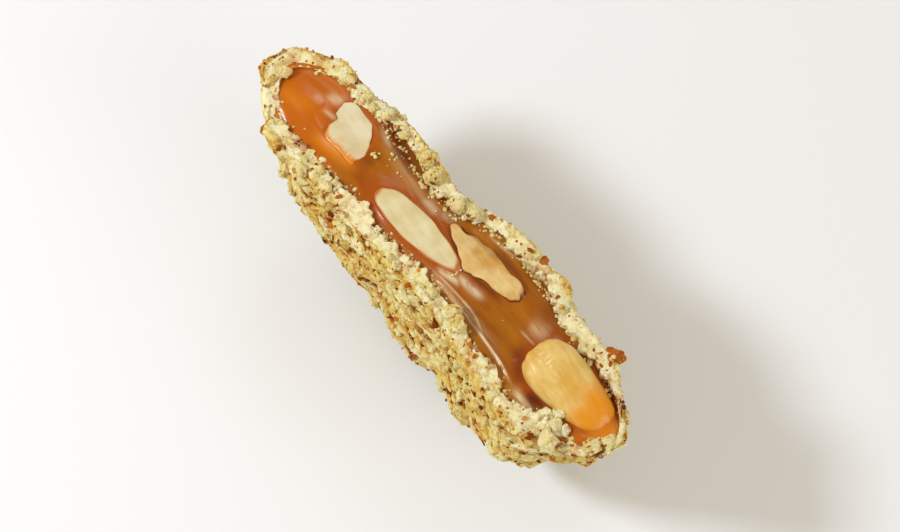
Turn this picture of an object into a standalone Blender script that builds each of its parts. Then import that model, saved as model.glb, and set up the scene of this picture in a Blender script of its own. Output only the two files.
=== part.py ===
"""Half of a nut toffee patty, cut across and set down on its rounded rim.

Butter toffee fills the middle, whole and sliced almonds sit in the cut face, and a thick coat
of ground almonds covers the outside.

Frame: the origin is the middle of the small flat spot that the piece rests on. +X runs along
the cut, +Y through the patty's thickness towards its far side, and +Z up to the cut face.
Lengths are metres.
"""

import math

import bmesh
import bpy
import numpy as np
from mathutils import Euler, Matrix, Vector

MM = 0.001

# The whole patty, and where it is cut.
PATTY_RADIUS = 44.5 * MM
CUT_BELOW_CENTRE = 7.5 * MM
REST_FLATTENING = 1.6 * MM
EDGE_ROUND = 8.0 * MM
FACE_DOME = 0.10
OUTLINE_WAVES = ((2, 0.9 * MM, 1.2), (3, 0.8 * MM, 2.7), (5, 0.5 * MM, 1.3), (8, 0.3 * MM, 1.3))

CENTRE_Z = PATTY_RADIUS - REST_FLATTENING
CUT_Z = CENTRE_Z - CUT_BELOW_CENTRE

# The toffee's edges along the cut, as millimetres of (x, y): near broad face and far broad face.
TOFFEE_NEAR = (
    (-42, -5.6), (-34, -7.6), (-27, -7.8), (-19, -6.8), (-10, -6.3), (-1, -5.6),
    (5, -5.4), (12, -6.1), (20, -6.8), (27, -7.4), (31, -7.2), (36, -4.9), (42, -3.4),
)
TOFFEE_FAR = (
    (-42, 2.4), (-36, 4.2), (-29, 4.9), (-22, 5.6), (-15, 4.8), (-6, 5.2),
    (0, 7.4), (5, 8.6), (14, 8.5), (22, 7.6), (30, 7.3), (36, 6.4), (42, 4.8),
)
COAT_THICKNESS = 3.4 * MM
COAT_RIM_THICKNESS = 3.6 * MM

# Unevenness of the coat: height, longest and shortest wave.
BROAD_LUMPS = (0.50 * MM, 26 * MM, 10 * MM)
SMALL_LUMPS = (0.36 * MM, 9 * MM, 4.5 * MM)
CUT_ROUGHNESS = (0.30 * MM, 7 * MM, 3 * MM)
WAVES = 28
TALLEST_LUMP = 2.0

# Chopped almond bits fused to the coat, and larger chunks as millimetres of (x, y, depth, radius).
SKIN_BITS = 128
RIM_BITS = 30
BIT_RADIUS = (0.9 * MM, 1.9 * MM)
BIT_SUNK = 0.45
CHUNKS = ((-15, 7.8, 0.5, 2.0), (31.5, 11.0, 1.0, 2.3), (36.5, -7.2, 0.4, 2.4))

# The toffee's surface in the cut, and the clearance between touching solids.
TOFFEE_BELOW_CUT = 0.9 * MM
CLEARANCE = 0.3 * MM

SEED = 7
CLEAR_OF_ALL = 60 * MM

ALMOND_FLESH = (0.80, 0.62, 0.32)
ALMOND_BLANCHED = (0.78, 0.50, 0.17)
TOFFEE_AMBER = (0.42, 0.12, 0.01)
COAT_CREAM = (0.70, 0.54, 0.24)


def clear_scene():
    """Removes every object of the scene that the script starts in."""
    for obj in list(bpy.data.objects):
        bpy.data.objects.remove(obj, do_unlink=True)


def collection(name, hidden=False):
    """Returns a new collection in the scene."""
    made = bpy.data.collections.new(name)
    bpy.context.scene.collection.children.link(made)
    made.hide_render = hidden
    return made


def material(name, colour, roughness, transmission=0.0):
    """Returns a Principled material."""
    made = bpy.data.materials.new(name)
    made.use_nodes = True
    shader = made.node_tree.nodes["Principled BSDF"]
    shader.inputs["Base Color"].default_value = (*colour, 1)
    shader.inputs["Roughness"].default_value = roughness
    shader.inputs["Metallic"].default_value = 0.0
    shader.inputs["Transmission Weight"].default_value = transmission
    return made


# ---------------------------------------------------------------- shape functions


def edge_at(x, knots):
    """Height of a smooth curve through the knots (millimetres) at x (metres): cubic Hermite."""
    across, up = (np.array(column, float) * MM for column in zip(*knots))
    slope = np.gradient(up, across)
    x = np.clip(x, across[0], across[-1])
    i = np.clip(np.searchsorted(across, x) - 1, 0, len(across) - 2)
    step = across[i + 1] - across[i]
    t = (x - across[i]) / step
    return (
        up[i] * (1 + 2 * t) * (1 - t) ** 2
        + up[i + 1] * t**2 * (3 - 2 * t)
        + slope[i] * step * t * (1 - t) ** 2
        + slope[i + 1] * step * t**2 * (t - 1)
    )


def lumps(points, seed, longest, shortest):
    """A smooth uneven field with a spread of 1: the sum of plane waves in seeded directions."""
    draw = np.random.default_rng(seed)
    way = draw.normal(size=(WAVES, 3))
    way /= np.linalg.norm(way, axis=1, keepdims=True)
    length = shortest * (longest / shortest) ** draw.random(WAVES)
    phase = draw.uniform(0, 2 * math.pi, WAVES)
    turns = points @ (way * 2 * math.pi / length[:, None]).T + phase
    return np.cos(turns).sum(axis=1) * math.sqrt(2 / WAVES)


def patty_points(ways, side_inset, rim_inset):
    """Points of the patty's face for unit vectors, moved in from the sides and from the rim.

    A vector's turn about Y picks the place round the outline, and its tilt the distance from
    the middle of a broad face, over the rounded rim.
    """
    turn = np.arctan2(ways[:, 2], ways[:, 0])
    radius = PATTY_RADIUS - rim_inset
    for count, height, phase in OUTLINE_WAVES:
        radius = radius + height * np.cos(count * turn + phase)
    edge = EDGE_ROUND - 0.6 * rim_inset
    flat = radius - edge
    along = np.sqrt(1 - np.abs(ways[:, 1])) * (flat + edge * math.pi / 2)
    bend = np.clip((along - flat) / edge, 0, math.pi / 2)
    out = np.minimum(along, flat) + edge * np.sin(bend)
    rise = np.cos(bend) * (1 - FACE_DOME * (out / radius) ** 2)
    x = out * np.cos(turn)
    near, far = edge_at(x, TOFFEE_NEAR), edge_at(x, TOFFEE_FAR)
    half = (far - near) / 2 + COAT_THICKNESS - side_inset
    y = (near + far) / 2 + np.sign(ways[:, 1]) * rise * half
    return np.column_stack([x, y, CENTRE_Z + out * np.sin(turn)])


def toffee_relief(x, y):
    """Height of the toffee's surface over its mean level: lips, hollows, a dome and a bubble."""
    near, far = edge_at(x, TOFFEE_NEAR), edge_at(x, TOFFEE_FAR)
    from_near, from_far = y - near, far - y

    def ridge(distance, at, width):
        return np.exp(-(((distance - at) / width) ** 2))

    def bump(at_x, at_y, wide_x, wide_y):
        return np.exp(-(((x - at_x) / wide_x) ** 2) - ((y - at_y) / wide_y) ** 2)

    lip = ridge(from_near, 2.1 * MM, 0.8 * MM) * ridge(x, 17 * MM, 14 * MM)
    far_lip = ridge(from_far, 1.6 * MM, 0.8 * MM) * ridge(x, -12 * MM, 9 * MM)
    dome = bump(-34 * MM, -3 * MM, 6 * MM, 5 * MM)
    bubble = bump(19 * MM, 3.8 * MM, 2.6 * MM, 2.2 * MM)
    hollow = bump(13 * MM, -1.5 * MM, 8 * MM, 3 * MM)
    pit = bump(29 * MM, -5.2 * MM, 4 * MM, 1.6 * MM)
    return MM * (0.9 * lip + 0.7 * far_lip + 1.1 * dome + 1.0 * bubble - 0.7 * hollow - 1.0 * pit)


# ---------------------------------------------------------------- making and cutting


def object_of(bm, name, into, shade=True):
    """Returns a new object that holds the bmesh."""
    mesh = bpy.data.meshes.new(name)
    bm.to_mesh(mesh)
    bm.free()
    obj = bpy.data.objects.new(name, mesh)
    into.objects.link(obj)
    if shade:
        mesh.shade_smooth()
    return obj


def shaped_ball(name, into, subdivisions, shape):
    """Returns an icosphere whose unit vectors are turned into points by shape()."""
    bm = bmesh.new()
    bmesh.ops.create_icosphere(bm, subdivisions=subdivisions, radius=1)
    ways = np.array([vert.co for vert in bm.verts])
    ways /= np.linalg.norm(ways, axis=1, keepdims=True)
    for vert, point in zip(bm.verts, shape(ways)):
        vert.co = point
    bmesh.ops.recalc_face_normals(bm, faces=bm.faces)
    return object_of(bm, name, into)


def roughen(obj, seed, *fields):
    """Moves each vertex along its normal by uneven fields, each (height, longest, shortest)."""
    mesh = obj.data
    points = np.array([vert.co for vert in mesh.vertices])
    normals = np.array([vert.normal for vert in mesh.vertices])
    for number, (height, longest, shortest) in enumerate(fields):
        field = np.clip(lumps(points, seed + number, longest, shortest), -TALLEST_LUMP, TALLEST_LUMP)
        points = points + normals * (height * field)[:, None]
    mesh.vertices.foreach_set("co", points.ravel())
    mesh.update()


def block_above(name, into, height_at, cells):
    """Returns a block that fills everything above a surface z = height_at(x, y)."""
    bm = bmesh.new()
    bmesh.ops.create_grid(bm, x_segments=cells[0], y_segments=cells[1], size=0.5)
    half_x, half_y = PATTY_RADIUS + 6 * MM, 18 * MM
    for vert in bm.verts:
        vert.co.x *= 2 * half_x
        vert.co.y *= 2 * half_y
    x, y = np.array([vert.co.xy for vert in bm.verts]).T
    for vert, height in zip(bm.verts, height_at(x, y)):
        vert.co.z = height
    raised = bmesh.ops.extrude_face_region(bm, geom=list(bm.faces))["geom"]
    for vert in (part for part in raised if isinstance(part, bmesh.types.BMVert)):
        vert.co.z = CUT_Z + CLEAR_OF_ALL
    bmesh.ops.recalc_face_normals(bm, faces=bm.faces)
    return object_of(bm, name, into, shade=False)


def box(name, into, low, high):
    """Returns a box between two corners."""
    bm = bmesh.new()
    bmesh.ops.create_cube(bm, size=1)
    middle, size = (Vector(low) + Vector(high)) / 2, Vector(high) - Vector(low)
    bmesh.ops.transform(bm, matrix=Matrix.Translation(middle) @ Matrix.Diagonal((*size, 1)), verts=bm.verts)
    return object_of(bm, name, into, shade=False)


def boolean(obj, operation, operand, solver="EXACT"):
    """Adds a Boolean modifier whose operand is an object or a collection."""
    modifier = obj.modifiers.new(operation.title(), "BOOLEAN")
    modifier.operation = operation
    modifier.solver = solver
    if isinstance(operand, bpy.types.Collection):
        modifier.operand_type = "COLLECTION"
        modifier.collection = operand
    else:
        modifier.object = operand


def apply_modifiers(obj):
    """Replaces the object's mesh by what its modifiers make of it."""
    graph = bpy.context.evaluated_depsgraph_get()
    made = bpy.data.meshes.new_from_object(obj.evaluated_get(graph))
    obj.modifiers.clear()
    obj.data = made


def keep_largest(obj):
    """Drops the loose scraps that a cut leaves, and keeps the body with the most faces."""
    bm = bmesh.new()
    bm.from_mesh(obj.data)
    bmesh.ops.remove_doubles(bm, verts=bm.verts, dist=0.002 * MM)
    left, bodies = set(bm.faces), []
    while left:
        body, edge = set(), [left.pop()]
        while edge:
            face = edge.pop()
            body.add(face)
            near = {other for line in face.edges for other in line.link_faces} & left
            left -= near
            edge.extend(near)
        bodies.append(body)
    bodies.sort(key=len)
    scraps = [face for body in bodies[:-1] for face in body]
    bmesh.ops.delete(bm, geom=scraps, context="FACES")
    bm.to_mesh(obj.data)
    bm.free()


def remove(objects, holder=None):
    """Deletes objects and, if one is given, the collection that held them."""
    for obj in list(objects):
        bpy.data.objects.remove(obj, do_unlink=True)
    if holder:
        bpy.data.collections.remove(holder)


# ---------------------------------------------------------------- the coat


def random_ways(draw, count):
    """Unit vectors spread evenly over a ball."""
    ways = draw.normal(size=(count, 3))
    return ways / np.linalg.norm(ways, axis=1, keepdims=True)


def skin_sites(draw):
    """Places for the bits on the outside, which stay off the flat spot and below the cut."""
    points = patty_points(random_ways(draw, 12 * SKIN_BITS), 0, 0)
    keep = (points[:, 2] < CUT_Z - 0.5 * MM) & (points[:, 2] > 1.0 * MM)
    return points[keep][:SKIN_BITS]


def rim_sites(draw):
    """Places for the bits on the cut edge of the coat, between its outside and the toffee."""
    tries = 300 * RIM_BITS
    share = draw.uniform(0.2, 0.8, tries)
    points = patty_points(random_ways(draw, tries), share * COAT_THICKNESS, share * COAT_RIM_THICKNESS)
    return points[np.abs(points[:, 2] - CUT_Z) < 0.3 * MM][:RIM_BITS]


def add_bits(into, draw):
    """Adds one small angular ball for each chopped bit and each chunk."""
    places = np.vstack([skin_sites(draw), rim_sites(draw)])
    low, high = BIT_RADIUS
    radii = low + (high - low) * draw.random(len(places)) ** 2
    chunks = np.array(CHUNKS) * MM
    places = np.vstack([places, chunks[:, :3] * (1, 1, -1) + (0, 0, CUT_Z)])
    for place, radius in zip(places, [*radii, *chunks[:, 3]]):
        stretch = draw.uniform(0.7, 1.25, 3)
        turn = Euler(draw.uniform(0, 2 * math.pi, 3))
        inward = Vector((0, 0, CENTRE_Z)) - Vector(place)
        inward.y *= 2
        centre = Vector(place) + inward.normalized() * radius * BIT_SUNK
        bm = bmesh.new()
        bmesh.ops.create_icosphere(bm, subdivisions=1, radius=radius)
        placing = Matrix.Translation(centre) @ turn.to_matrix().to_4x4() @ Matrix.Diagonal((*stretch, 1))
        bmesh.ops.transform(bm, matrix=placing, verts=bm.verts)
        object_of(bm, "bit", into, shade=False)


def cut_level(x, y):
    """Height of the crumbly cut through the coat."""
    height, longest, shortest = CUT_ROUGHNESS
    places = np.column_stack([x, y, np.zeros_like(x)])
    return CUT_Z + height * lumps(places, SEED + 20, longest, shortest)


def make_coat(parts, cutters, draw):
    """Makes the ground-almond coat: a lumpy bowl, open at the cut, with fused bits."""
    coat = shaped_ball("coat", parts, 5, lambda ways: patty_points(ways, 0, 0))
    roughen(coat, SEED, BROAD_LUMPS, SMALL_LUMPS)
    boolean(coat, "DIFFERENCE", block_above("above_coat", cutters, cut_level, (42, 14)))
    apply_modifiers(coat)

    bits = collection("bits")
    add_bits(bits, draw)
    boolean(coat, "UNION", bits, "MANIFOLD")
    apply_modifiers(coat)
    remove(bits.objects, bits)

    cavity = shaped_ball(
        "cavity", cutters, 4, lambda ways: patty_points(ways, COAT_THICKNESS, COAT_RIM_THICKNESS)
    )
    floor = box("floor", cutters, (-0.06, -0.03, -0.01), (0.06, 0.03, 0))
    boolean(coat, "DIFFERENCE", cavity, "MANIFOLD")
    boolean(coat, "DIFFERENCE", floor, "MANIFOLD")
    apply_modifiers(coat)
    keep_largest(coat)
    coat.data.materials.clear()
    coat.data.materials.append(material("ground_almond", COAT_CREAM, 0.9))
    return coat


# ---------------------------------------------------------------- almonds and toffee


def almond_shape(size, taper, boxiness):
    """Returns a function from unit vectors to an almond with its tip at +X."""
    half = np.array(size) / 2

    def shape(ways):
        rounded = np.sign(ways) * np.abs(ways) ** boxiness
        narrowing = 1 - taper * (rounded[:, :1] + 0.15)
        scale = np.hstack([np.ones_like(narrowing), narrowing, narrowing])
        return rounded * half * scale

    return shape


# name, size (x, y, z), taper to the tip, boxiness, centre (x, y, depth under the cut),
# turns about X, Y and Z in degrees, and height of its cut face over the mean cut level.
ALMONDS = (
    ("almond_block", (10.0, 6.3, 8.4), 0.18, 0.72, (-25.3, 0.1, 2.2), (8, 0, -16), 0.45),
    ("almond_slice", (19.0, 5.5, 8.6), 0.16, 0.95, (-5.3, -1.7, 1.5), (0, 0, 7), 0.25),
    ("almond_half", (17.0, 4.3, 7.6), -0.22, 0.92, (5.2, 3.6, 1.3), (0, 3, 4), 0.40),
    ("almond_whole", (17.4, 8.4, 7.4), 0.10, 0.86, (29.6, 0.9, 0.9), (6, 4, 8), None),
)


def almond_placing(centre, turns):
    """Where an almond sits, as a matrix."""
    place = Vector((centre[0] * MM, centre[1] * MM, CUT_Z - centre[2] * MM))
    turn = Euler([math.radians(angle) for angle in turns]).to_matrix().to_4x4()
    return Matrix.Translation(place) @ turn


def make_almonds(parts, pockets, cutters):
    """Makes each almond, cut level where it was sliced, and the pocket that it sits in."""
    for name, size, taper, boxiness, centre, turns, face in ALMONDS:
        placing = almond_placing(centre, turns)
        metres = np.array(size) * MM
        almond = shaped_ball(name, parts, 3, almond_shape(metres, taper, boxiness))
        almond.matrix_world = placing
        grown = metres + 2 * CLEARANCE
        pocket = shaped_ball("pocket_" + name, pockets, 3, almond_shape(grown, taper, boxiness))
        pocket.matrix_world = placing
        if face is not None:
            level = CUT_Z + face * MM
            above = box("above_" + name, cutters, (-0.06, -0.03, level), (0.06, 0.03, CLEAR_OF_ALL + CUT_Z))
            boolean(almond, "DIFFERENCE", above)
        almond.data.materials.append(
            material(name, ALMOND_BLANCHED if face is None else ALMOND_FLESH, 0.5)
        )


def toffee_level(x, y):
    """Height of the toffee's surface in the cut."""
    return CUT_Z - TOFFEE_BELOW_CUT + toffee_relief(x, y)


def make_toffee(parts, pockets, cutters):
    """Makes the toffee that runs through the patty, with a pocket for each almond."""
    side, rim = COAT_THICKNESS + CLEARANCE, COAT_RIM_THICKNESS + CLEARANCE
    toffee = shaped_ball("toffee", parts, 4, lambda ways: patty_points(ways, side, rim))
    boolean(toffee, "DIFFERENCE", block_above("above_toffee", cutters, toffee_level, (56, 32)))
    boolean(toffee, "DIFFERENCE", pockets)
    apply_modifiers(toffee)
    keep_largest(toffee)
    toffee.data.materials.clear()
    toffee.data.materials.append(material("toffee", TOFFEE_AMBER, 0.12, 0.3))
    return toffee


def main():
    """Builds the half patty."""
    clear_scene()
    parts = collection("butter_toffee")
    cutters = collection("cutters", hidden=True)
    pockets = collection("pockets", hidden=True)
    make_coat(parts, cutters, np.random.default_rng(SEED))
    make_almonds(parts, pockets, cutters)
    make_toffee(parts, pockets, cutters)
    for helper in (*cutters.objects, *pockets.objects):
        helper.hide_render = True
        helper.display_type = "WIRE"


main()
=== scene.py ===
"""Looks of half a butter toffee patty that stands on its rounded rim with its cut face up.

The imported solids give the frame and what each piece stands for. Over them this script models the
crumbly coat of ground almonds with its chopped bits, meal and skin flecks, the glossy toffee in
the cut with its lips and hollows, and the four almonds that sit in it.

Frame: origin on the floor under the piece, +X along the cut, +Y towards the far broad face and
+Z up to the cut. Lengths are metres, and a name that ends in _mm holds millimetres.
"""

import logging
import math
from collections.abc import Callable
from dataclasses import dataclass, field
from enum import Enum

import bmesh
import bpy
import numpy as np
from mathutils import Euler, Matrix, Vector


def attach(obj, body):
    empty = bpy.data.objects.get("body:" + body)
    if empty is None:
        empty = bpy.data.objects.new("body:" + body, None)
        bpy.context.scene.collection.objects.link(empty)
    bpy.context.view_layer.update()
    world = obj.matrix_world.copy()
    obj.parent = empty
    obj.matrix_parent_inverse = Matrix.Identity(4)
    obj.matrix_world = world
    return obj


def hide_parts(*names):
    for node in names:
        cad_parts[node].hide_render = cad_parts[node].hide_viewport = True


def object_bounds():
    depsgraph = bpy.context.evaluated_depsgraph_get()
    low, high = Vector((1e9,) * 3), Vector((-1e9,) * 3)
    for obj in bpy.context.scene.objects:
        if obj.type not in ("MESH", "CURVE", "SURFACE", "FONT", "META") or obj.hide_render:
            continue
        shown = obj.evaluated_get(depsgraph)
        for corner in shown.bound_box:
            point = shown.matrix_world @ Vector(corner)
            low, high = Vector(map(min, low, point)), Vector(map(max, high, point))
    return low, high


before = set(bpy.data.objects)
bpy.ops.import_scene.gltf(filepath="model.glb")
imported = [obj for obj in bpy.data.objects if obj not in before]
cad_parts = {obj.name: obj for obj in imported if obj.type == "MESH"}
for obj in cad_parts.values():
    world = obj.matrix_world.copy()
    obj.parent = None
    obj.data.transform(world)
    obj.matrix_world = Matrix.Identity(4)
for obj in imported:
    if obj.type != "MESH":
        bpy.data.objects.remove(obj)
CAD_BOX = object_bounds()

MM = 0.001
# How far loose crumbs may stand out of the solids' box, and the room that this leaves them: it ends
# at the floor.
SPARE = np.array((0.7, 0.5, 0.6)) * MM
ROOM = (np.array(CAD_BOX[0]) - SPARE * (1, 1, 0), np.array(CAD_BOX[1]) + SPARE)
BODY = "root"
Array = np.ndarray

log = logging.getLogger("butter_toffee")


# ---------------------------------------------------------------- number fields


def lumps(points: Array, seed: int, longest: float, shortest: float) -> Array:
    """A smooth uneven field with a spread of 1: the sum of cosine waves in seeded directions.

    Args:
        points: Places, one row each.
        seed: Start of the random draw.
        longest: Longest wave, in metres.
        shortest: Shortest wave, in metres.

    Returns:
        One value for each place.
    """
    waves = 28
    draw = np.random.default_rng(seed)
    way = draw.normal(size=(waves, 3))
    way /= np.linalg.norm(way, axis=1, keepdims=True)
    length = shortest * (longest / shortest) ** draw.random(waves)
    phase = draw.uniform(0, 2 * math.pi, waves)
    turns = points @ (way * 2 * math.pi / length[:, None]).T + phase
    return np.cos(turns).sum(axis=1) * math.sqrt(2 / waves)


def hashed(cells: Array, seed: int, channels: int) -> Array:
    """Repeatable random numbers from 0 to 1 for whole-number cells: prime products, then mixed bits.

    Args:
        cells: Whole numbers of the cells, one row of three each.
        seed: Picks another set of numbers.
        channels: How many numbers each cell gets.

    Returns:
        One row for each cell.
    """
    mixed = (cells * np.array([73856093, 19349663, 83492791])).sum(axis=1) + seed * 2654435761
    numbers = []
    for channel in range(channels):
        value = (mixed + channel * 0x9E3779B9) & 0xFFFFFFFF
        for _ in range(2):
            value = ((value ^ (value >> 16)) * 0x45D9F3B) & 0xFFFFFFFF
        numbers.append(((value ^ (value >> 16)) & 0xFFFFFF) / 0xFFFFFF)
    return np.stack(numbers, axis=-1)


def cobbles(points: Array, size: float, seed: int) -> tuple[Array, Array]:
    """Rounded clods that fill space: height grows with the way in from the seam to the next clod.

    Args:
        points: Places, one row each.
        size: Side of the cubes that hold one seed each, in metres.
        seed: Start of the random draw.

    Returns:
        Height of each place from 0 in a seam to 1 on top of a clod, and its clod's own number.
    """
    slope = 0.55
    scaled = points / size
    base = np.floor(scaled).astype(np.int64)
    nearest, second = np.full((2, len(points)), np.inf)
    owner = np.zeros(len(points))
    for step in np.ndindex(3, 3, 3):
        cell = base + np.array(step) - 1
        drawn = hashed(cell, seed, 4)
        distance = np.linalg.norm(cell + drawn[:, :3] - scaled, axis=1)
        closer = distance < nearest
        second = np.where(closer, nearest, np.minimum(second, distance))
        nearest = np.where(closer, distance, nearest)
        owner = np.where(closer, drawn[:, 3], owner)
    return 1 - (1 - np.clip((second - nearest) / slope, 0, 1)) ** 2, owner


def smooth_step(value: Array, low: float, high: float) -> Array:
    """0 under low, 1 over high, and the cubic 3t^2 - 2t^3 between them."""
    share = np.clip((value - low) / (high - low), 0, 1)
    return share * share * (3 - 2 * share)


# ---------------------------------------------------------------- meshes


@dataclass
class Surface:
    """Points and triangles of one piece, with named values for its points.

    Attributes:
        points: Places of the points.
        triangles: Three point numbers for each triangle.
        values: One number for each point, under each name.
    """

    points: Array
    triangles: Array
    values: dict[str, Array] = field(default_factory=dict)

    @classmethod
    def from_grid(
        cls, grid: Array, values: dict[str, Array] | None = None, closed: bool = False
    ) -> "Surface":
        """Makes two triangles between each four neighbours of a grid of points.

        Args:
            grid: Points by row and column.
            values: Numbers by row and column, under each name.
            closed: Whether the last column joins the first.

        Returns:
            The surface, with points that coincide made one.
        """
        rows, columns = grid.shape[:2]
        number = np.arange(rows * columns).reshape(rows, columns)
        if closed:
            number = np.hstack([number, number[:, :1]])
        a, b, c, d = number[:-1, :-1], number[1:, :-1], number[1:, 1:], number[:-1, 1:]
        triangles = np.concatenate([np.stack([a, b, c], -1), np.stack([a, c, d], -1)]).reshape(-1, 3)
        flat = {name: value.reshape(-1) for name, value in (values or {}).items()}
        return cls(grid.reshape(-1, 3), triangles, flat).welded()

    def welded(self) -> "Surface":
        """Names each place once and drops the triangles without an area.

        Returns:
            The new surface, with the values of its points kept.
        """
        same_place = 0.0005 * MM
        places = np.round(self.points / same_place).astype(np.int64)
        _, first, which = np.unique(places, axis=0, return_index=True, return_inverse=True)
        triangles = which.reshape(-1)[self.triangles]
        a, b, c = triangles.T
        triangles = triangles[(a != b) & (b != c) & (c != a)]
        return Surface(self.points[first], triangles, {k: v[first] for k, v in self.values.items()})

    def normals(self) -> Array:
        """Unit normals of the points: the sum of the cross products of the triangles round each.

        Returns:
            One normal for each point.
        """
        a, b, c = (self.points[self.triangles[:, i]] for i in range(3))
        cross = np.cross(b - a, c - a)
        count = len(self.points)
        total = np.zeros((count, 3))
        for corner in range(3):
            for axis in range(3):
                total[:, axis] += np.bincount(self.triangles[:, corner], cross[:, axis], count)
        return total / np.maximum(np.linalg.norm(total, axis=1, keepdims=True), 1e-20)

    def outward(self) -> "Surface":
        """Turns the triangles so that their normals point out: the volume they enclose is positive.

        Returns:
            The surface itself.
        """
        a, b, c = (self.points[self.triangles[:, i]] - self.points.mean(axis=0) for i in range(3))
        if np.einsum("ij,ij->i", a, np.cross(b, c)).sum() < 0:
            self.triangles = self.triangles[:, ::-1]
        return self

    def part(self, keep: Array) -> "Surface":
        """Takes some of the triangles, with only the points that they use.

        Args:
            keep: Whether each triangle is taken.

        Returns:
            The new surface.
        """
        used, triangles = np.unique(self.triangles[keep], return_inverse=True)
        values = {name: value[used] for name, value in self.values.items()}
        return Surface(self.points[used], triangles.reshape(-1, 3), values)

    def sampled(
        self, count: int, draw: np.random.Generator, weight: Array | None = None
    ) -> tuple[Array, Array, Array]:
        """Random places on the surface, spread by area.

        Args:
            count: How many places.
            draw: Random numbers.
            weight: Extra weight of each triangle.

        Returns:
            The places, the normals there and the triangle of each.
        """
        a, b, c = (self.points[self.triangles[:, i]] for i in range(3))
        cross = np.cross(b - a, c - a)
        area = np.linalg.norm(cross, axis=1)
        chance = area if weight is None else area * weight
        chosen = draw.choice(len(area), count, p=chance / chance.sum())
        s, t = np.sqrt(draw.random(count)), draw.random(count)
        shares = np.stack([1 - s, s * (1 - t), s * t], axis=1)
        corners = self.points[self.triangles[chosen]]
        places = (corners * shares[:, :, None]).sum(axis=1)
        return places, cross[chosen] / np.maximum(area[chosen, None], 1e-20), chosen

    def to_object(self, name: str, material: bpy.types.Material, smooth: bool = True) -> bpy.types.Object:
        """Makes the mesh object.

        Args:
            name: Name of the object and its mesh.
            material: Its finish.
            smooth: Whether it is shaded smooth.

        Returns:
            The object, linked to the scene.
        """
        mesh = bpy.data.meshes.new(name)
        mesh.vertices.add(len(self.points))
        mesh.vertices.foreach_set("co", self.points.astype(np.float32).ravel())
        mesh.loops.add(self.triangles.size)
        mesh.loops.foreach_set("vertex_index", self.triangles.astype(np.int32).ravel())
        mesh.polygons.add(len(self.triangles))
        mesh.polygons.foreach_set("loop_start", np.arange(0, self.triangles.size, 3, dtype=np.int32))
        mesh.update(calc_edges=True)
        mesh.polygons.foreach_set("use_smooth", np.full(len(self.triangles), smooth))
        for key, value in self.values.items():
            layer = mesh.attributes.new(key, "FLOAT", "POINT")
            layer.data.foreach_set("value", value.astype(np.float32))
        mesh.materials.append(material)
        made = bpy.data.objects.new(name, mesh)
        bpy.context.scene.collection.objects.link(made)
        return made


def joined(surfaces: list[Surface]) -> Surface:
    """Makes one surface of several.

    Args:
        surfaces: The surfaces.

    Returns:
        The surface that holds them all, with the values that they share.
    """
    starts = np.cumsum([0] + [len(s.points) for s in surfaces[:-1]])
    names = set.intersection(*(set(s.values) for s in surfaces))
    return Surface(
        np.concatenate([s.points for s in surfaces]),
        np.concatenate([s.triangles + start for s, start in zip(surfaces, starts)]),
        {name: np.concatenate([s.values[name] for s in surfaces]) for name in names},
    )


def place_piece(piece: bpy.types.Object, slot: str, *nodes: str) -> None:
    """Attaches a finished piece to the body, hides the solids that it stands for, and reports it.

    Args:
        piece: The piece's object.
        slot: Not used.
        nodes: The solids that it stands for.
    """
    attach(piece, BODY)
    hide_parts(*nodes)
    log.info("%s: %d triangles", piece.name, len(piece.data.polygons))


# ---------------------------------------------------------------- finishes

# Settings of a Mix node for colours: its share is socket 0, its colours are 6 and 7, its result is 2.
MIX_COLOURS = {"data_type": "RGBA"}


def linear(colour: str) -> tuple[float, float, float, float]:
    """Turns an sRGB hex colour to linear light, by the straight foot and the power curve of sRGB.

    Args:
        colour: Six hex digits.

    Returns:
        Red, green, blue and an alpha of 1.
    """
    parts = [int(colour[i : i + 2], 16) / 255 for i in (0, 2, 4)]
    bent = [part / 12.92 if part <= 0.04045 else ((part + 0.055) / 1.055) ** 2.4 for part in parts]
    return (*bent, 1.0)


def even_stops(colours: tuple[str, ...]) -> tuple[tuple[float, str], ...]:
    """Stops of a colour ramp at even steps, one for each colour."""
    return tuple((number / (len(colours) - 1), colour) for number, colour in enumerate(colours))


def add_node(
    tree: bpy.types.NodeTree,
    kind: str,
    settings: dict[str, object] | None = None,
    sockets: dict[str | int, object] | None = None,
    stops: tuple[tuple[float, str], ...] = (),
) -> bpy.types.Node:
    """Adds a node with its settings, links and constants.

    Args:
        tree: Node tree that it goes in.
        kind: Blender's name of the node.
        settings: Values of its own settings.
        sockets: Its inputs: another node's output is linked, anything else is set.
        stops: For a colour ramp, the places and hex colours of its stops.

    Returns:
        The node.
    """
    node = tree.nodes.new(kind)
    for key, value in (settings or {}).items():
        setattr(node, key, value)
    for key, value in (sockets or {}).items():
        if isinstance(value, bpy.types.NodeSocket):
            tree.links.new(value, node.inputs[key])
        else:
            node.inputs[key].default_value = value
    for number, (place, colour) in enumerate(stops):
        elements = node.color_ramp.elements
        stop = elements[number] if number < 2 else elements.new(place)
        stop.position = place
        stop.color = linear(colour)
    return node


def new_material(name: str) -> tuple[bpy.types.Material, bpy.types.NodeTree, bpy.types.Node]:
    """Makes a material with nodes.

    Args:
        name: Its name.

    Returns:
        The material, its node tree and its Principled shader.
    """
    made = bpy.data.materials.new(name)
    made.use_nodes = True
    return made, made.node_tree, made.node_tree.nodes["Principled BSDF"]


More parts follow.
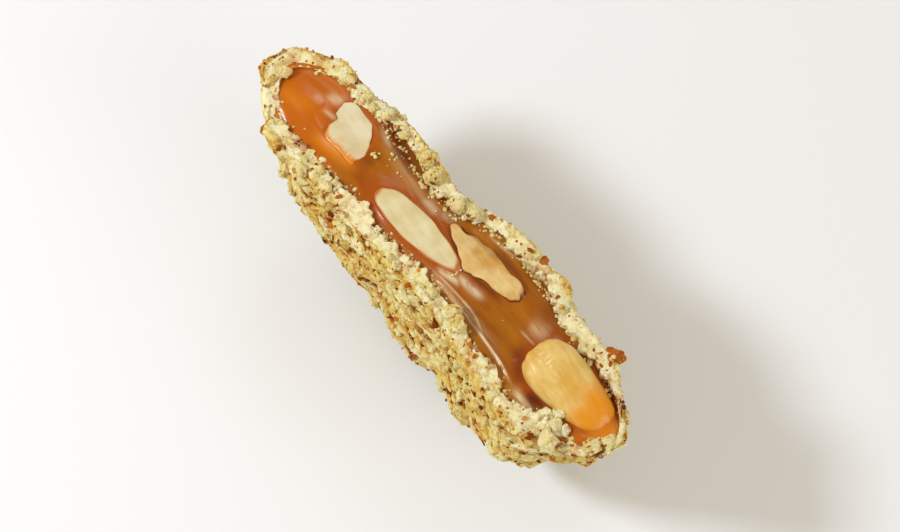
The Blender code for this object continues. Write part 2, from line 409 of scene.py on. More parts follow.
@dataclass(frozen=True)
class NutFinish:
    """Almond, ground or chopped: matt, oily enough for a faint sheen, and a little see-through.

    Attributes:
        name: Name of the material.
        shades: Hex colours from the darkest grain to the palest.
        roughness: Roughness of the surface.
        glow: Share of the light that goes under the surface.
        grit_mm: Width of the finest grit, as a bump.
        grit_depth_mm: Depth of that bump.
        fleck: Hex colour of the skin flecks in the surface, or nothing.
        hollow: Hex colours that the deep places turn to, the deepest last: partly toffee stain and partly
            painted shade.
        drift: How much the tone drifts from place to place.
        drift_mm: Width of that drift.
        fleck_mm: How far apart the cells of the flecks are.
        fleck_reach: Half width of a fleck, in cells.
        bare_cells: Share of the cells without a fleck.
        sheen: Specular level, low for a dry, crumbly surface.
        light_reach: How far red, green and blue light go under the surface, in steps of 1 mm.
    """

    name: str
    shades: tuple[str, ...]
    roughness: float = 0.72
    glow: float = 0.2
    grit_mm: float = 0.35
    grit_depth_mm: float = 0.05
    fleck: str | None = None
    hollow: tuple[str, ...] = ()
    drift: float = 0.7
    drift_mm: float = 9.0
    fleck_mm: float = 0.9
    fleck_reach: float = 0.26
    bare_cells: float = 0.90
    sheen: float = 0.08
    light_reach: tuple[float, float, float] = (1.0, 0.75, 0.4)

    def material(self) -> bpy.types.Material:
        """Builds the material: a shade for each grain, a slow drift of tone, flecks and grit.

        Returns:
            The material.
        """
        made, tree, shader = new_material(self.name)
        place = add_node(tree, "ShaderNodeTexCoord").outputs["Object"]
        sockets = {"Vector": place, "Scale": 1 / (self.drift_mm * MM), "Detail": 2.0}
        drift = add_node(tree, "ShaderNodeTexNoise", sockets=sockets).outputs["Fac"]
        sockets = {0: drift, 1: self.drift, 2: -self.drift / 2}
        shifted = add_node(tree, "ShaderNodeMath", {"operation": "MULTIPLY_ADD"}, sockets).outputs[0]
        own_tone = add_node(tree, "ShaderNodeAttribute", {"attribute_name": "tone"}).outputs["Fac"]
        tone = add_node(tree, "ShaderNodeMath", {"operation": "ADD"}, {0: own_tone, 1: shifted}).outputs[0]
        ramp = add_node(tree, "ShaderNodeValToRGB", sockets={"Fac": tone}, stops=even_stops(self.shades))
        colour = ramp.outputs["Color"]
        # The deep places turn rust: partly toffee stain, partly painted shade.
        if self.hollow:
            deep = add_node(tree, "ShaderNodeAttribute", {"attribute_name": "deep"}).outputs["Fac"]
            stops = even_stops(self.hollow)
            ramp = add_node(tree, "ShaderNodeValToRGB", sockets={"Fac": deep}, stops=stops)
            sockets = {0: deep, 6: colour, 7: ramp.outputs["Color"]}
            colour = add_node(tree, "ShaderNodeMix", MIX_COLOURS, sockets).outputs[2]
        if self.fleck:
            sockets = {0: self.flecks(tree, place), 6: colour, 7: linear(self.fleck)}
            colour = add_node(tree, "ShaderNodeMix", MIX_COLOURS, sockets).outputs[2]
        sockets = {"Vector": place, "Scale": 1 / (self.grit_mm * MM), "Detail": 2.0}
        grit = add_node(tree, "ShaderNodeTexNoise", sockets=sockets).outputs["Fac"]
        sockets = {"Height": grit, "Strength": 1.0, "Distance": self.grit_depth_mm * MM}
        bump = add_node(tree, "ShaderNodeBump", sockets=sockets).outputs["Normal"]
        tree.links.new(colour, shader.inputs["Base Color"])
        tree.links.new(bump, shader.inputs["Normal"])
        shader.inputs["Roughness"].default_value = self.roughness
        shader.inputs["Specular IOR Level"].default_value = self.sheen
        shader.inputs["Subsurface Weight"].default_value = self.glow
        shader.inputs["Subsurface Radius"].default_value = self.light_reach
        shader.inputs["Subsurface Scale"].default_value = 1.0 * MM
        return made

    def flecks(self, tree: bpy.types.NodeTree, place: bpy.types.NodeSocket) -> bpy.types.NodeSocket:
        """Draws small skin flecks: the middles of some cells of a cell pattern.

        Args:
            tree: Node tree of the material.
            place: Socket of the place on the object.

        Returns:
            The socket that gives 1 on a fleck and 0 beside it.
        """
        sockets = {"Vector": place, "Scale": 1 / (self.fleck_mm * MM)}
        cells = add_node(tree, "ShaderNodeTexVoronoi", sockets=sockets)
        sockets = {0: cells.outputs["Distance"], 1: self.fleck_reach}
        near = add_node(tree, "ShaderNodeMath", {"operation": "LESS_THAN"}, sockets).outputs[0]
        drawn = add_node(tree, "ShaderNodeSeparateColor", sockets={0: cells.outputs["Color"]}).outputs[0]
        sockets = {0: drawn, 1: self.bare_cells}
        some = add_node(tree, "ShaderNodeMath", {"operation": "GREATER_THAN"}, sockets).outputs[0]
        return add_node(tree, "ShaderNodeMath", {"operation": "MULTIPLY"}, {0: near, 1: some}).outputs[0]


@dataclass(frozen=True)
class ToffeeFinish:
    """Boiled butter and sugar, set: smooth, very glossy, and lit through like amber.

    Attributes:
        name: Name of the material.
        deep: Hex colour where it is thick.
        amber: Hex colour of most of it.
        glow: Hex colour where light comes through.
        bright: Hex colour where it is thin and most light comes through.
        blush: Hex colour of the thin, darker red rim of toffee round an almond.
        dark: Hex colour of painted shade in the pits and grooves and under the far edge, over some darker
            toffee.
        milky: Hex colour of the painted sheen: pale patches and lines where the glossy toffee catches the
            light.
        roughness: Roughness of its surface.
        refraction: Index of refraction.
        sheen: Specular level of the toffee itself.
        gloss: Weight of the wet gloss over it.
        gloss_roughness: Roughness of that gloss.
        light_share: Share of the light that goes under the surface.
        light_reach: How far red, green and blue light go under it, in steps of 2 mm.
        drawn_out: Scale of the streaks along the cut: under 1 draws them out.
        amber_streaks: Width in mm, gain and start of the streaks between deep and amber.
        painted_sheen_streaks: The same for the streaks that break up the painted sheen.
    """

    name: str = "set_butter_toffee"
    deep: str = "884805"
    amber: str = "AE700A"
    glow: str = "B86004"
    bright: str = "D88814"
    blush: str = "964000"
    dark: str = "5E2202"
    milky: str = "DACCAA"
    roughness: float = 0.24
    refraction: float = 1.49
    sheen: float = 0.16
    gloss: float = 0.25
    gloss_roughness: float = 0.14
    light_share: float = 0.25
    light_reach: tuple[float, float, float] = (1.0, 0.45, 0.12)
    drawn_out: float = 0.22
    amber_streaks: tuple[float, float, float] = (2.4, 2.2, -0.7)
    painted_sheen_streaks: tuple[float, float, float] = (0.8, 2.8, -0.5)

    def material(self) -> bpy.types.Material:
        """Builds the material: amber by thickness, drawn streaks, zones of painted shade and painted sheen,
        light under the surface, a wet gloss.

        Returns:
            The material.
        """
        made, tree, shader = new_material(self.name)
        place = add_node(tree, "ShaderNodeTexCoord").outputs["Object"]
        sockets = {"Vector": place, "Scale": (self.drawn_out, 1.0, 1.0)}
        drawn = add_node(tree, "ShaderNodeMapping", sockets=sockets).outputs["Vector"]
        clamped = {"operation": "MULTIPLY_ADD", "use_clamp": True}
        shares = []
        for width_mm, gain, start in (self.amber_streaks, self.painted_sheen_streaks):
            sockets = {"Vector": drawn, "Scale": 1 / (width_mm * MM), "Detail": 3.0}
            streaks = add_node(tree, "ShaderNodeTexNoise", sockets=sockets).outputs["Fac"]
            sockets = {0: streaks, 1: gain, 2: start}
            shares.append(add_node(tree, "ShaderNodeMath", clamped, sockets).outputs[0])
        sockets = {0: shares[0], 6: linear(self.deep), 7: linear(self.amber)}
        colour = add_node(tree, "ShaderNodeMix", MIX_COLOURS, sockets).outputs[2]
        # The zones: light coming through, a darker red rim round the almonds, painted shade, and painted
        # sheen.
        for zone in ("glow", "bright", "blush", "dark", "milky"):
            share = add_node(tree, "ShaderNodeAttribute", {"attribute_name": zone}).outputs["Fac"]
            # The painted sheen is broken up by streaks.
            if zone == "milky":
                settings = {"operation": "MULTIPLY", "use_clamp": True}
                share = add_node(tree, "ShaderNodeMath", settings, {0: share, 1: shares[1]}).outputs[0]
            sockets = {0: share, 6: colour, 7: linear(getattr(self, zone))}
            colour = add_node(tree, "ShaderNodeMix", MIX_COLOURS, sockets).outputs[2]
        tree.links.new(colour, shader.inputs["Base Color"])
        shader.inputs["Roughness"].default_value = self.roughness
        shader.inputs["IOR"].default_value = self.refraction
        shader.inputs["Specular IOR Level"].default_value = self.sheen
        shader.inputs["Coat Weight"].default_value = self.gloss
        shader.inputs["Coat Roughness"].default_value = self.gloss_roughness
        shader.inputs["Subsurface Weight"].default_value = self.light_share
        shader.inputs["Subsurface Radius"].default_value = self.light_reach
        shader.inputs["Subsurface Scale"].default_value = 2.0 * MM
        return made


@dataclass(frozen=True)
class AlmondFinish:
    """A blanched almond, cut or roasted: waxy and fibrous along its length.

    Attributes:
        name: Name of the material.
        pale: Hex colour of the flesh between its fibres.
        dark: Hex colour of the fibres.
        film: Hex colour of the toffee film on it.
        rim: Hex colour of its outer edge.
        turn: Turn of its length about Z, in degrees.
        roughness: Roughness of its bare flesh.
        film_roughness: Roughness of the toffee film.
        froth: Hex colour of the painted glints, pale highlight specks on it.
        fibre_mm: Width of its fibres.
        fibre_depth_mm: Depth of their bump.
        fibre_stretch: Scale of the fibres along, across and down: under 1 draws them out.
        fibre_weight: Weight of the fibres against the slow patches in its colour.
        patch_mm: Width of those patches.
        contrast: Gain and start of the colour between pale and dark.
        light_share: Share of the light that goes under the surface.
        light_reach: How far red, green and blue light go under it, in steps of 1.2 mm.
    """

    name: str
    pale: str
    dark: str
    film: str = "DE8A12"
    rim: str = "C88A3C"
    turn: float = 0.0
    roughness: float = 0.5
    film_roughness: float = 0.18
    froth: str = "F2E4BE"
    fibre_mm: float = 0.45
    fibre_depth_mm: float = 0.06
    fibre_stretch: tuple[float, float, float] = (0.22, 1.0, 0.6)
    fibre_weight: float = 0.4
    patch_mm: float = 3.5
    contrast: tuple[float, float] = (3.0, -1.6)
    light_share: float = 0.25
    light_reach: tuple[float, float, float] = (1.0, 0.6, 0.25)

    def material(self) -> bpy.types.Material:
        """Builds the material: fibres along the almond, a tanned rim, a film of toffee and painted glints.

        Returns:
            The material.
        """
        made, tree, shader = new_material(self.name)
        place = add_node(tree, "ShaderNodeTexCoord").outputs["Object"]
        turned = (0, 0, math.radians(-self.turn))
        sockets = {"Vector": place, "Rotation": turned, "Scale": self.fibre_stretch}
        along = add_node(tree, "ShaderNodeMapping", sockets=sockets).outputs["Vector"]
        sockets = {"Vector": along, "Scale": 1 / (self.fibre_mm * MM), "Detail": 3.0}
        fibres = add_node(tree, "ShaderNodeTexNoise", sockets=sockets).outputs["Fac"]
        sockets = {"Vector": place, "Scale": 1 / (self.patch_mm * MM), "Detail": 2.0}
        patches = add_node(tree, "ShaderNodeTexNoise", sockets=sockets).outputs["Fac"]
        weighed = {"operation": "MULTIPLY_ADD"}
        both = add_node(tree, "ShaderNodeMath", weighed, {0: fibres, 1: self.fibre_weight, 2: patches})
        sockets = {0: both.outputs[0], 1: self.contrast[0], 2: self.contrast[1]}
        share = add_node(tree, "ShaderNodeMath", {**weighed, "use_clamp": True}, sockets).outputs[0]
        sockets = {0: share, 6: linear(self.pale), 7: linear(self.dark)}
        colour = add_node(tree, "ShaderNodeMix", MIX_COLOURS, sockets).outputs[2]
        zones = {}
        # The zones: its tanned rim, the toffee film, and painted glints of highlight.
        for zone in ("rim", "film", "froth"):
            zones[zone] = add_node(tree, "ShaderNodeAttribute", {"attribute_name": zone}).outputs["Fac"]
            sockets = {0: zones[zone], 6: colour, 7: linear(getattr(self, zone))}
            colour = add_node(tree, "ShaderNodeMix", MIX_COLOURS, sockets).outputs[2]
        sockets = {"Height": fibres, "Strength": 0.6, "Distance": self.fibre_depth_mm * MM}
        bump = add_node(tree, "ShaderNodeBump", sockets=sockets).outputs["Normal"]
        sockets = {0: zones["film"], 1: self.film_roughness - self.roughness, 2: self.roughness}
        gloss = add_node(tree, "ShaderNodeMath", weighed, sockets).outputs[0]
        tree.links.new(colour, shader.inputs["Base Color"])
        tree.links.new(bump, shader.inputs["Normal"])
        tree.links.new(gloss, shader.inputs["Roughness"])
        shader.inputs["Subsurface Weight"].default_value = self.light_share
        shader.inputs["Subsurface Radius"].default_value = self.light_reach
        shader.inputs["Subsurface Scale"].default_value = 1.2 * MM
        return made


# Shades of each kind of grain, from the darkest to the palest, and the colours of the deep places,
# from straw to dark rust: partly toffee that soaked into the crumbs, partly painted shade in the
# crevices and at the feet of the crumbs.
GROUND_SHADES = ("B48830", "C8A84A", "D3C170", "DED89A", "E6E5C0")
MEAL_SHADES = ("BE9C44", "CEB464", "D7C982", "DED8A2", "E6E5C4")
TOASTED_SHADES = ("AE7E30", "C09846", "CEB060", "D8C37C")
CHIP_SHADES = ("D1C586", "DAD29A", "E2DCAE", "EAE8C8")
SKIN_SHADES = ("4E2206", "6E340A", "8C460E", "A65E1A")
TAWNY_SHADES = ("94480E", "AC5C14", "BE7624", "CE9038")
RUSTY_SHADES = ("7A340A", "964C12", "B86A22")
STAINS_AND_SHADE = ("D89C3C", "B8680E", "6E2E04")

# The grit of ground nuts and the fibres of an almond are 0.1 to 0.2 mm wide, about one pixel of the
# render. They would not show, so grit is drawn 0.3 mm wide or more, and fibres 0.45 mm.

# Blanched almonds, ground and pressed on while the toffee was soft: creamy, matt and gritty clumps,
# with rust-brown between them, partly toffee stain and partly painted shade, and dots of skin.
GROUND_ALMOND = NutFinish(
    "ground_almond_coat", GROUND_SHADES, grit_mm=0.32, grit_depth_mm=0.1, fleck="A4560E", hollow=STAINS_AND_SHADE
)
# Loose meal of the same nuts: the same cream, a little smoother as each grain is small.
ALMOND_MEAL = NutFinish("almond_meal", MEAL_SHADES, grit_depth_mm=0.03, hollow=STAINS_AND_SHADE)
# Meal that roasted longer: tan grains that warm the cream.
TOASTED_MEAL = NutFinish("toasted_almond_meal", TOASTED_SHADES, grit_depth_mm=0.03, hollow=STAINS_AND_SHADE)
# Almonds chopped with a blade: the palest pieces, with flat, slightly waxy cuts.
CHOPPED_ALMOND = NutFinish(
    "chopped_almond", CHIP_SHADES, roughness=0.6, glow=0.15, grit_mm=0.34, grit_depth_mm=0.15, hollow=STAINS_AND_SHADE
)
# Skin of roasted almonds: dark brown, thin flakes that let no light through.
ALMOND_SKIN = NutFinish("almond_skin", SKIN_SHADES, roughness=0.6, glow=0.0, grit_depth_mm=0.03)
# Thinner skin with some flesh behind it: orange-brown flakes with a faint sheen.
TAWNY_SKIN = NutFinish("toasted_almond_skin", TAWNY_SHADES, roughness=0.55, glow=0.1, grit_depth_mm=0.03)
# A chopped bit that kept its wrinkled skin: one rusty nugget on the cut edge.
RUSTY_SKIN = NutFinish("rusty_almond_skin", RUSTY_SHADES, roughness=0.55, grit_mm=0.7, grit_depth_mm=0.12)
# Toffee boiled hard and cut while warm: clear amber with a wet gloss, painted sheen and highlight
# lines, and painted shade in its pits and grooves.
TOFFEE = ToffeeFinish()


# ---------------------------------------------------------------- the patty's form


@dataclass(frozen=True)
class Patty:
    """The whole patty's form, the level of its cut and the toffee's edges in it.

    A patty is a flat disc with a rounded rim that stands on edge. Its two broad faces follow the
    toffee's near and far edges along the cut, moved out by the coat.

    Attributes:
        radius: Radius of the disc.
        cut_below_centre: How far the cut lies under the disc's middle.
        rest_flattening: How much of the rim is pressed flat where it rests.
        edge_round: Radius of the rounded rim.
        face_dome: Share by which a broad face falls off from the middle to the rim.
        coat: Thickness of the coat on the broad faces.
        coat_at_rim: Thickness of the coat at the rim.
        toffee_below_cut: How far the toffee's mean level lies under the cut.
        worn_end: How much of the coat is worn off at the +X end.
        worn_turn: Direction of the worn place from the middle.
        worn_spread: Half width of the worn place, as a turn.
        thin_far_end: Share by which the far side's coat thins towards the +X end.
        seed: Start of the random draws of the coat and its bits.
        outline_waves: Waves of the outline: how many go round it, their height and their phase.
        near_edge_mm: The toffee's near edge in the cut, as X and Y.
        far_edge_mm: The toffee's far edge in the cut, as X and Y.
    """

    radius: float = 44.5 * MM
    cut_below_centre: float = 7.5 * MM
    rest_flattening: float = 1.6 * MM
    edge_round: float = 8.0 * MM
    face_dome: float = 0.10
    coat: float = 3.4 * MM
    coat_at_rim: float = 3.6 * MM
    toffee_below_cut: float = 0.9 * MM
    worn_end: float = 2.4 * MM
    worn_turn: float = -0.4
    worn_spread: float = 0.45
    thin_far_end: float = 0.45
    seed: int = 7
    outline_waves: tuple[tuple[int, float, float], ...] = (
        (2, 0.9 * MM, 1.2),
        (3, 0.8 * MM, 2.7),
        (5, 0.5 * MM, 1.3),
        (8, 0.3 * MM, 1.3),
    )
    near_edge_mm: tuple[tuple[float, float], ...] = (
        (-42, -5.6), (-34, -7.6), (-27, -7.8), (-19, -6.8), (-10, -6.3), (-1, -5.6),
        (5, -5.4), (12, -6.1), (20, -6.8), (27, -7.4), (31, -7.2), (36, -4.9), (42, -3.4),
    )
    far_edge_mm: tuple[tuple[float, float], ...] = (
        (-42, 2.4), (-36, 4.2), (-29, 4.9), (-22, 5.6), (-15, 4.8), (-6, 5.2),
        (0, 7.4), (5, 8.6), (14, 8.5), (22, 7.6), (30, 7.3), (36, 6.4), (42, 4.8),
    )

    @property
    def centre_z(self) -> float:
        """Height of the patty's middle."""
        return self.radius - self.rest_flattening

    @property
    def cut_z(self) -> float:
        """Height of the cut."""
        return self.centre_z - self.cut_below_centre

    def edge(self, x: Array, knots_mm: tuple[tuple[float, float], ...]) -> Array:
        """Height of a smooth curve through the knots: cubic Hermite pieces.

        Args:
            x: Places along the cut.
            knots_mm: Points that the curve passes, as X and Y.

        Returns:
            Y at each x, level with the last knot past either end.
        """
        across, up = (np.array(column, float) * MM for column in zip(*knots_mm))
        slope = np.gradient(up, across)
        x = np.clip(x, across[0], across[-1])
        i = np.clip(np.searchsorted(across, x) - 1, 0, len(across) - 2)
        step = across[i + 1] - across[i]
        t = (x - across[i]) / step
        return (
            up[i] * (1 + 2 * t) * (1 - t) ** 2
            + up[i + 1] * t**2 * (3 - 2 * t)
            + slope[i] * step * t * (1 - t) ** 2
            + slope[i + 1] * step * t**2 * (t - 1)
        )

    def near(self, x: Array) -> Array:
        """The toffee's near edge at x."""
        return self.edge(x, self.near_edge_mm)

    def far(self, x: Array) -> Array:
        """The toffee's far edge at x."""
        return self.edge(x, self.far_edge_mm)

    def bow(self, inset: Array) -> Array:
        """Radius of the rounded rim: it tightens as the surface lies further inside."""
        return self.edge_round - 0.6 * self.coat_at_rim * inset

    def rim(self, turn: Array, inset: Array) -> Array:
        """Radius of the outline: the disc's, worn by a bell curve at one end, with a few waves.

        Args:
            turn: Direction from the middle of the disc.
            inset: 0 at the outside and 1 at the toffee.

        Returns:
            The radius in each direction.
        """
        worn = self.worn_end * np.exp(-(((turn - self.worn_turn) / self.worn_spread) ** 2))
        radius = self.radius - worn * np.clip(1 - inset, 0, 1) - self.coat_at_rim * inset
        for count, height, phase in self.outline_waves:
            radius = radius + height * np.cos(count * turn + phase)
        return radius

    def face(self, turn: Array, along: Array, side: Array, inset: Array) -> Array:
        """Points of a broad face and of the rounded rim that it ends in.

        Args:
            turn: Direction from the middle of the disc.
            along: Way from the middle over the face and round the rim.
            side: -1 for the near face and 1 for the far one.
            inset: Share of the coat's thickness that the surface lies inside.

        Returns:
            Points, with the shape of the arguments and three numbers more.
        """
        rim, bow = self.rim(turn, inset), self.bow(inset)
        flat = rim - bow
        bend = np.clip((along - flat) / bow, 0, math.pi / 2)
        out = np.minimum(along, flat) + bow * np.sin(bend)
        rise = np.cos(bend) * (1 - self.face_dome * (out / rim) ** 2)
        x = out * np.cos(turn)
        near, far = self.near(x), self.far(x)
        thin = self.thin_far_end * smooth_step(x, 28 * MM, 37 * MM) * (side > 0)
        half = (far - near) / 2 + self.coat * (1 - inset) * (1 - thin)
        y = (near + far) / 2 + side * rise * half
        return np.stack([x, y, self.centre_z + out * np.sin(turn)], axis=-1)

    def bowl(self, along_cut: Array, down: Array, side: Array, inset: Array) -> Array:
        """Points of one side below the cut, over straight lines from the cut to the keel.

        The lines are straight on the disc with its rim unrolled. Each one starts on the cut's
        chord at a share of its length, and ends on the outline at the same share of its arc.

        Args:
            along_cut: Share of the way from the -X end to the +X end.
            down: 0 at the cut and 1 at the keel, where the two sides meet.
            side: -1 for the near side and 1 for the far one.
            inset: Share of the coat's thickness that the surface lies inside.

        Returns:
            Points, with the shape of the arguments together and three numbers more.
        """
        along_cut, down, side, inset = np.broadcast_arrays(along_cut, down, side, inset)
        bow = self.bow(inset)
        ends = []
        for start in (-math.pi, 0.0):
            turn = np.full(inset.shape, start)
            for _ in range(6):
                dip = np.arcsin(self.cut_below_centre / self.rim(turn, inset))
                turn = start + dip if start else -dip
            ends.append(turn)
        left, right = (self.rim(turn, inset) * np.cos(turn) for turn in ends)
        x = left + (right - left) * along_cut
        chord_turn = np.arctan2(-self.cut_below_centre, x)
        out = np.hypot(x, self.cut_below_centre)
        flat = self.rim(chord_turn, inset) - bow
        bent = flat + bow * np.arcsin(np.clip((out - flat) / bow, 0, 1))
        chord = np.where(out > flat, bent, out)
        keel_turn = ends[0] + (ends[1] - ends[0]) * along_cut
        keel = self.rim(keel_turn, inset) + bow * (math.pi / 2 - 1)
        across = (1 - down) * chord * np.cos(chord_turn) + down * keel * np.cos(keel_turn)
        height = (1 - down) * chord * np.sin(chord_turn) + down * keel * np.sin(keel_turn)
        return self.face(np.arctan2(height, across), np.hypot(across, height), side, inset)


PATTY = Patty()


# ---------------------------------------------------------------- the coat


@dataclass
class Coat:
    """The thick coat of ground almonds: a lumpy bowl whose cut edge is a crumbly ring.

    Attributes:
        patty: The form that it covers.
        rows: Grid lines along the cut.
        face_columns: Grid lines from the cut to the keel, on each side.
        ring_columns: Grid lines across the cut edge.
        wall_columns: Grid lines down the inside, where the toffee hides it.
        wall_depth: How far down the inside goes, as a share of the way to the keel.
        broad: Broad lumps of the faces: their height, longest wave and shortest wave.
        small: Small lumps of the faces, in the same way.
        cut: Unevenness of the cut edge, in the same way.
        tallest: The most that a lump stands out, in heights.
        lump_x: Middle of the lump of crumbs on the near edge.
        bare_x: Middle of the gap in the far edge.
        clods: Sizes of the clumps, crumbs and grains.
    """

    patty: Patty = PATTY
    rows: int = 440
    face_columns: int = 178
    ring_columns: int = 18
    wall_columns: int = 6
    wall_depth: float = 0.07
    broad: tuple[float, float, float] = (0.50 * MM, 26 * MM, 10 * MM)
    small: tuple[float, float, float] = (0.36 * MM, 9 * MM, 4.5 * MM)
    cut: tuple[float, float, float] = (0.30 * MM, 7 * MM, 3 * MM)
    tallest: float = 2.0
    lump_x: float = 32.8 * MM
    bare_x: float = -19.5 * MM
    clods: tuple[float, float, float] = (3.0 * MM, 1.3 * MM, 0.6 * MM)

    def grid(self) -> Surface:
        """Lays the bowl's smooth grid: wall, ring, near face, keel, far face, ring, wall.

        Returns:
            The bowl, with each point's inset, way down and side.
        """
        wall = np.linspace(self.wall_depth, 0, self.wall_columns, endpoint=False)
        ring = np.linspace(1, 0, self.ring_columns, endpoint=False)
        face = np.linspace(0, 1, self.face_columns)
        inset = np.concatenate([np.ones_like(wall), ring, np.zeros_like(face)])
        down = np.concatenate([wall, np.zeros_like(ring), face])
        side = np.concatenate([-np.ones(len(down)), np.ones(len(down) - 1)])
        inset = np.concatenate([inset, inset[-2::-1]])
        down = np.concatenate([down, down[-2::-1]])
        along = np.linspace(0, 1, self.rows)[:, None]
        inset = inset * (1 + self.raggedness(along, side))
        points = self.patty.bowl(along, down, side, inset)
        corner = self.wall_columns + self.ring_columns
        columns = np.arange(len(down))
        near_corner = np.minimum(abs(columns - corner), abs(columns - (len(down) - 1 - corner)))
        soft_columns = 4
        points = self.rounded(points, np.exp(-((near_corner / soft_columns) ** 2)))
        shape = points.shape[:2]
        shares = np.broadcast_to(inset / inset.max(axis=1, keepdims=True), shape)
        down, side = np.broadcast_to(down, shape), np.broadcast_to(side, shape)
        values = {"inset": shares, "down": down, "side": side}
        return Surface.from_grid(points, values).outward()

    def raggedness(self, along: Array, side: Array) -> Array:
        """How far the inner edge strays over the toffee, as a share of the coat's thickness.

        Waves of two lengths, each side with its own, a lump of crumbs near the +X end and a gap on
        the far side where the toffee is seen up to the coat's middle.

        Args:
            along: Share of the way from the -X end to the +X end.
            side: -1 for the near side and 1 for the far one.

        Returns:
            The share for each place and side: over 0 where the crumbs reach in over the toffee.
        """
        x = (along * 2 - 1) * 41 * MM
        shape = np.broadcast_shapes(x.shape, side.shape)
        places = np.stack(np.broadcast_arrays(x, side * 30 * MM, np.zeros(shape)), axis=-1).reshape(-1, 3)
        waves = 0.13 * lumps(places, 35, 9 * MM, 4 * MM) + 0.10 * lumps(places, 36, 2.6 * MM, 1.1 * MM)
        waves = np.clip(waves.reshape(shape), -0.22, 0.4)
        lump = np.exp(-(((x - self.lump_x) / (2.2 * MM)) ** 2)) * (side < 0)
        ends = smooth_step(41 * MM - np.abs(x), 0.5 * MM, 6 * MM)
        bare_end = 0.3 * smooth_step(x, 36 * MM, 40.5 * MM)
        gap = 0.45 * np.exp(-(((x - self.bare_x) / (4.5 * MM)) ** 4)) * (side > 0)
        return np.maximum(waves * ends + 0.95 * lump - bare_end - gap, -0.36)

    def rounded(self, points: Array, weight: Array) -> Array:
        """Rounds the corner between ring and face: each point drifts to the mean of its neighbours.

        Args:
            points: The bowl's grid.
            weight: How far each column drifts, from 0 to 1.

        Returns:
            The grid with soft corners.
        """
        for _ in range(6):
            mean = points.copy()
            mean[:, 1:-1] = (points[:, :-2] + 2 * points[:, 1:-1] + points[:, 2:]) / 4
            points = points + (mean - points) * weight[None, :, None]
        return points

    def relief(self, surface: Surface) -> Surface:
        """Roughens the bowl: broad and small lumps, then cobbles of clumps, crumbs and grains.

        The cobbles move each point along its normal, and gaps sink between them. Points near the
        toffee move less. The tone rises with the cobbles, paler on their tops and darker in their
        seams: painted shade. The rust of the deep places rises with the depth between them: partly
        toffee stain and partly painted shade.

        Args:
            surface: The smooth bowl.

        Returns:
            The same surface, roughened, with its tone and how deep each point lies.
        """
        points, normals = surface.points, surface.normals()
        inset, down = surface.values["inset"], surface.values["down"]
        outside = 1 - smooth_step(inset, 0.0, 0.35)
        for number, (height, longest, shortest) in enumerate((self.broad, self.small)):
            wave = lumps(points, self.patty.seed + number, longest, shortest)
            wave = np.clip(wave, -self.tallest, self.tallest)
            points = points + normals * (height * wave * outside)[:, None]
        # Only the inner wall has its full inset, and it goes out of view as it goes down.
        open_to_view = 1 - smooth_step(down * (inset > 0.999), 0.0, 0.03)
        height, longest, shortest = self.cut
        level = lumps(points * (1, 1, 0), self.patty.seed + 20, longest, shortest) * height
        points = points + np.outer(level * (1 - outside) * open_to_view, (0, 0, 1))
        warp = np.stack([lumps(points, seed, 4 * MM, 1.2 * MM) for seed in (32, 33, 34)], axis=1)
        bent = points + 0.40 * MM * warp
        (clump, clump_tone), (crumb, crumb_tone), (grain, _) = (
            cobbles(bent, size, seed) for size, seed in zip(self.clods, (11, 12, 13))
        )
        gaps = smooth_step(lumps(points, 31, 5 * MM, 1.8 * MM), 1.2, 2.4)
        parted = smooth_step(lumps(points, 38, 9 * MM, 3 * MM), -1.4, 1.0)
        rise = 0.56 * (clump - 0.7) * (0.3 + 0.7 * parted) + 0.18 * (crumb - 0.65) + 0.07 * (grain - 0.65)
        rise = rise - 0.6 * gaps - 0.05
        calm = (0.25 + 0.75 * open_to_view) * (0.55 + 0.45 * outside)
        surface.points = points + normals * (rise * MM * calm)[:, None]
        surface.points[:, 2] = np.maximum(surface.points[:, 2], 0)
        stained = smooth_step(lumps(points, 37, 8 * MM, 2.5 * MM), -0.1, 1.1)
        pale = 0.46 * (1 - outside)
        # Paler on the tops of the cobbles and darker in their seams, painted shade; paler on the ring; the
        # rest drifts at random.
        surface.values["tone"] = (
            0.02 + 0.30 * clump + 0.12 * crumb + 0.40 * clump_tone + 0.18 * crumb_tone + pale
        )
        # Rust in the deep places between the cobbles: partly toffee stain, partly painted shade.
        deep = smooth_step(-rise, -0.04, 0.36) * (0.4 + 0.6 * stained)
        surface.values["deep"] = deep * (0.5 + 0.5 * outside)
        return surface

    def build(self) -> Surface:
        """Returns:
            The whole surface, with the part of it that the toffee hides marked.
        """
        whole = self.relief(self.grid())
        material = GROUND_ALMOND.material()
        near = whole.values["side"][whole.triangles].mean(axis=1) < 0
        for name, keep in (("coat_near_side", near), ("coat_far_side", ~near)):
            half = whole.part(keep)
            half.values = {key: half.values[key] for key in ("tone", "deep")}
            place_piece(half.to_object(name, material), "ground_almond", "coat")
        hidden = (whole.values["inset"] > 0.97) & (whole.values["down"] > 0.01)
        whole.values["hidden"] = hidden.astype(float)
        return whole


# ---------------------------------------------------------------- crumbs of many kinds


class Form(Enum):
    """Forms that a scattered kind may take."""

    GRAIN = "an octahedron, for the finest meal"
    CRUMB = "an icosahedron"
    CHIP = "a ball of 80 faces that is cut by flat planes"
    NUGGET = "a ball of 320 faces that is cut by flat planes and pitted"
    FLAKE = "a six-sided plate"


